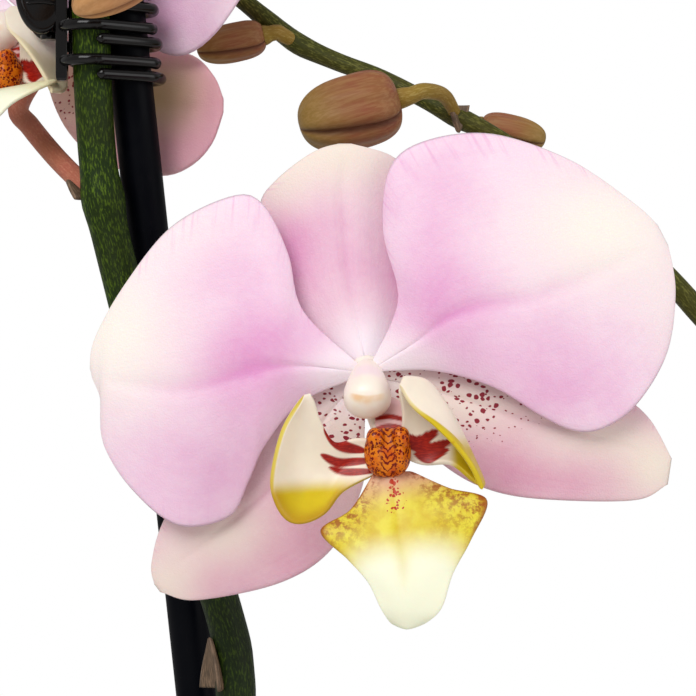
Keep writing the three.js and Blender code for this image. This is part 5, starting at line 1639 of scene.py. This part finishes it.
def paddle(side):
    """An oval plate with a round edge, a raised rim outside and three ribs for the finger."""
    radial, level = (column[:, None] for column in np.array(PADDLE_PROFILE).T)
    angle = circle(64)
    outside = -side * PADDLE["thickness"]
    x = PADDLE["width"] / 2 * radial * np.cos(angle)
    z = PADDLE["height"] / 2 * radial * np.sin(angle)
    rings = stacked(x, outside * level, z)
    faces = [outside * level[0, 0], outside * level[-1, 0]]
    shells = [ring_body(rings, *([0, face, 0] for face in faces), rings, stacked(radial, angle, level))]
    reach = RIBS["reach"] * PADDLE["width"]
    radius = lambda s: RIBS["radius"] * np.sqrt(np.clip(4 * s * (1 - s), 0.02, 1)) ** 0.5
    for height in RIBS["heights"]:
        path = [[-reach, faces[0], height], [0, faces[0], height + RIBS["bow"]], [reach, faces[0], height]]
        shells.append(tube(path, radius, rows=30, sides=10, spread=0.8))
    place = (HINGE[0] - PADDLE["inset"], HINGE[1] - side * PADDLE["away"], PADDLE["middle"])
    return [moved(shell, turn_about("z", side * PADDLE["splay"]), place) for shell in shells]


def strut(side, bar, bottom, top):
    """An upright box with soft edges beside the hinge, off it by the near and far distances of the bar."""
    x, y = HINGE
    ends = np.array([[x + bar["start"], y - side * bar["near"], bottom],
                     [x + bar["end"], y - side * bar["far"], top]])
    low, high = ends.min(axis=0), ends.max(axis=0)
    return blob((low + high) / 2, (high - low) / 2, 0.16, rows=22, sides=32)


def jaw(side, foot, fingers, knuckles, sweep):
    """A spine beside the hinge with its fingers, knuckles and plate. side is 1 in front and -1 behind.
    A finger below the spine's foot starts just above it."""
    shells = [strut(side, SPINE, foot, max(fingers[2] + 1, knuckles[-1][1])), *paddle(side)]
    for bottom, top in knuckles:
        shells += [knuckle(bottom, top), strut(side, WEB, bottom, top)]
    x = HINGE[0] + (SPINE["start"] + SPINE["end"]) / 2
    y = HINGE[1] - side * (SPINE["near"] + SPINE["far"]) / 2
    return shells + [finger(z, (x, y, max(z, foot + 1)), sweep) for z in fingers]


def pin():
    """The hinge pin with a flat head at both ends."""
    low, high, head = CLIP_BOTTOM - CLEARANCE, CLIP_TOP + CLEARANCE, 0.8
    wide = KNUCKLE_RADIUS - 0.3
    corners = [[0, low - head], [wide, low - head], [wide, low], [PIN_RADIUS, low], [PIN_RADIUS, high],
               [wide, high], [wide, high + head], [0, high + head]]
    return moved(turned(rounded(corners, 0.2, 4), 32), place=(*HINGE, 0))


dress("clip_front_jaw", jaw(**FRONT), [clip_paint], rides="front_jaw")
dress("clip_rear_jaw", jaw(**REAR), [clip_paint])
dress("clip_pin", [pin()], [clip_paint])
print("clip:", len(FRONT["fingers"]) + len(REAR["fingers"]), "fingers")

# %% [markdown]
# ## Floor and a last count
#
# The floor isn't part of the plant. It is a pale disc with a faint grain, small enough to stay out of
# the level view. The last cell prints the number of triangles made, in all and in the largest piece.

# %% Floor
FLOOR = dict(radius=1500, thickness=12)


def floor_material():
    """A pale ground in two tones that hardly differ, with a faint grain."""
    material, place = new_material("floor_pale", Roughness=0.7)
    color = mixed(cloud_at(place, 400.0), rgb(238, 237, 234), rgb(232, 231, 228))
    return finish_material(material, color, noise(place, 0.3), 0.05, 0.5)


low = -FLOOR["thickness"]
disc = turned(rounded([[0, low], [FLOOR["radius"], low], [FLOOR["radius"], 0], [0, 0]], 3), 128)
floor = make_piece("floor", [disc], [floor_material()])
print("floor:", 2 * FLOOR["radius"], "mm across")

# %% Triangles made
print("triangles made:", sum(made_triangles), "largest piece:", max(made_triangles))
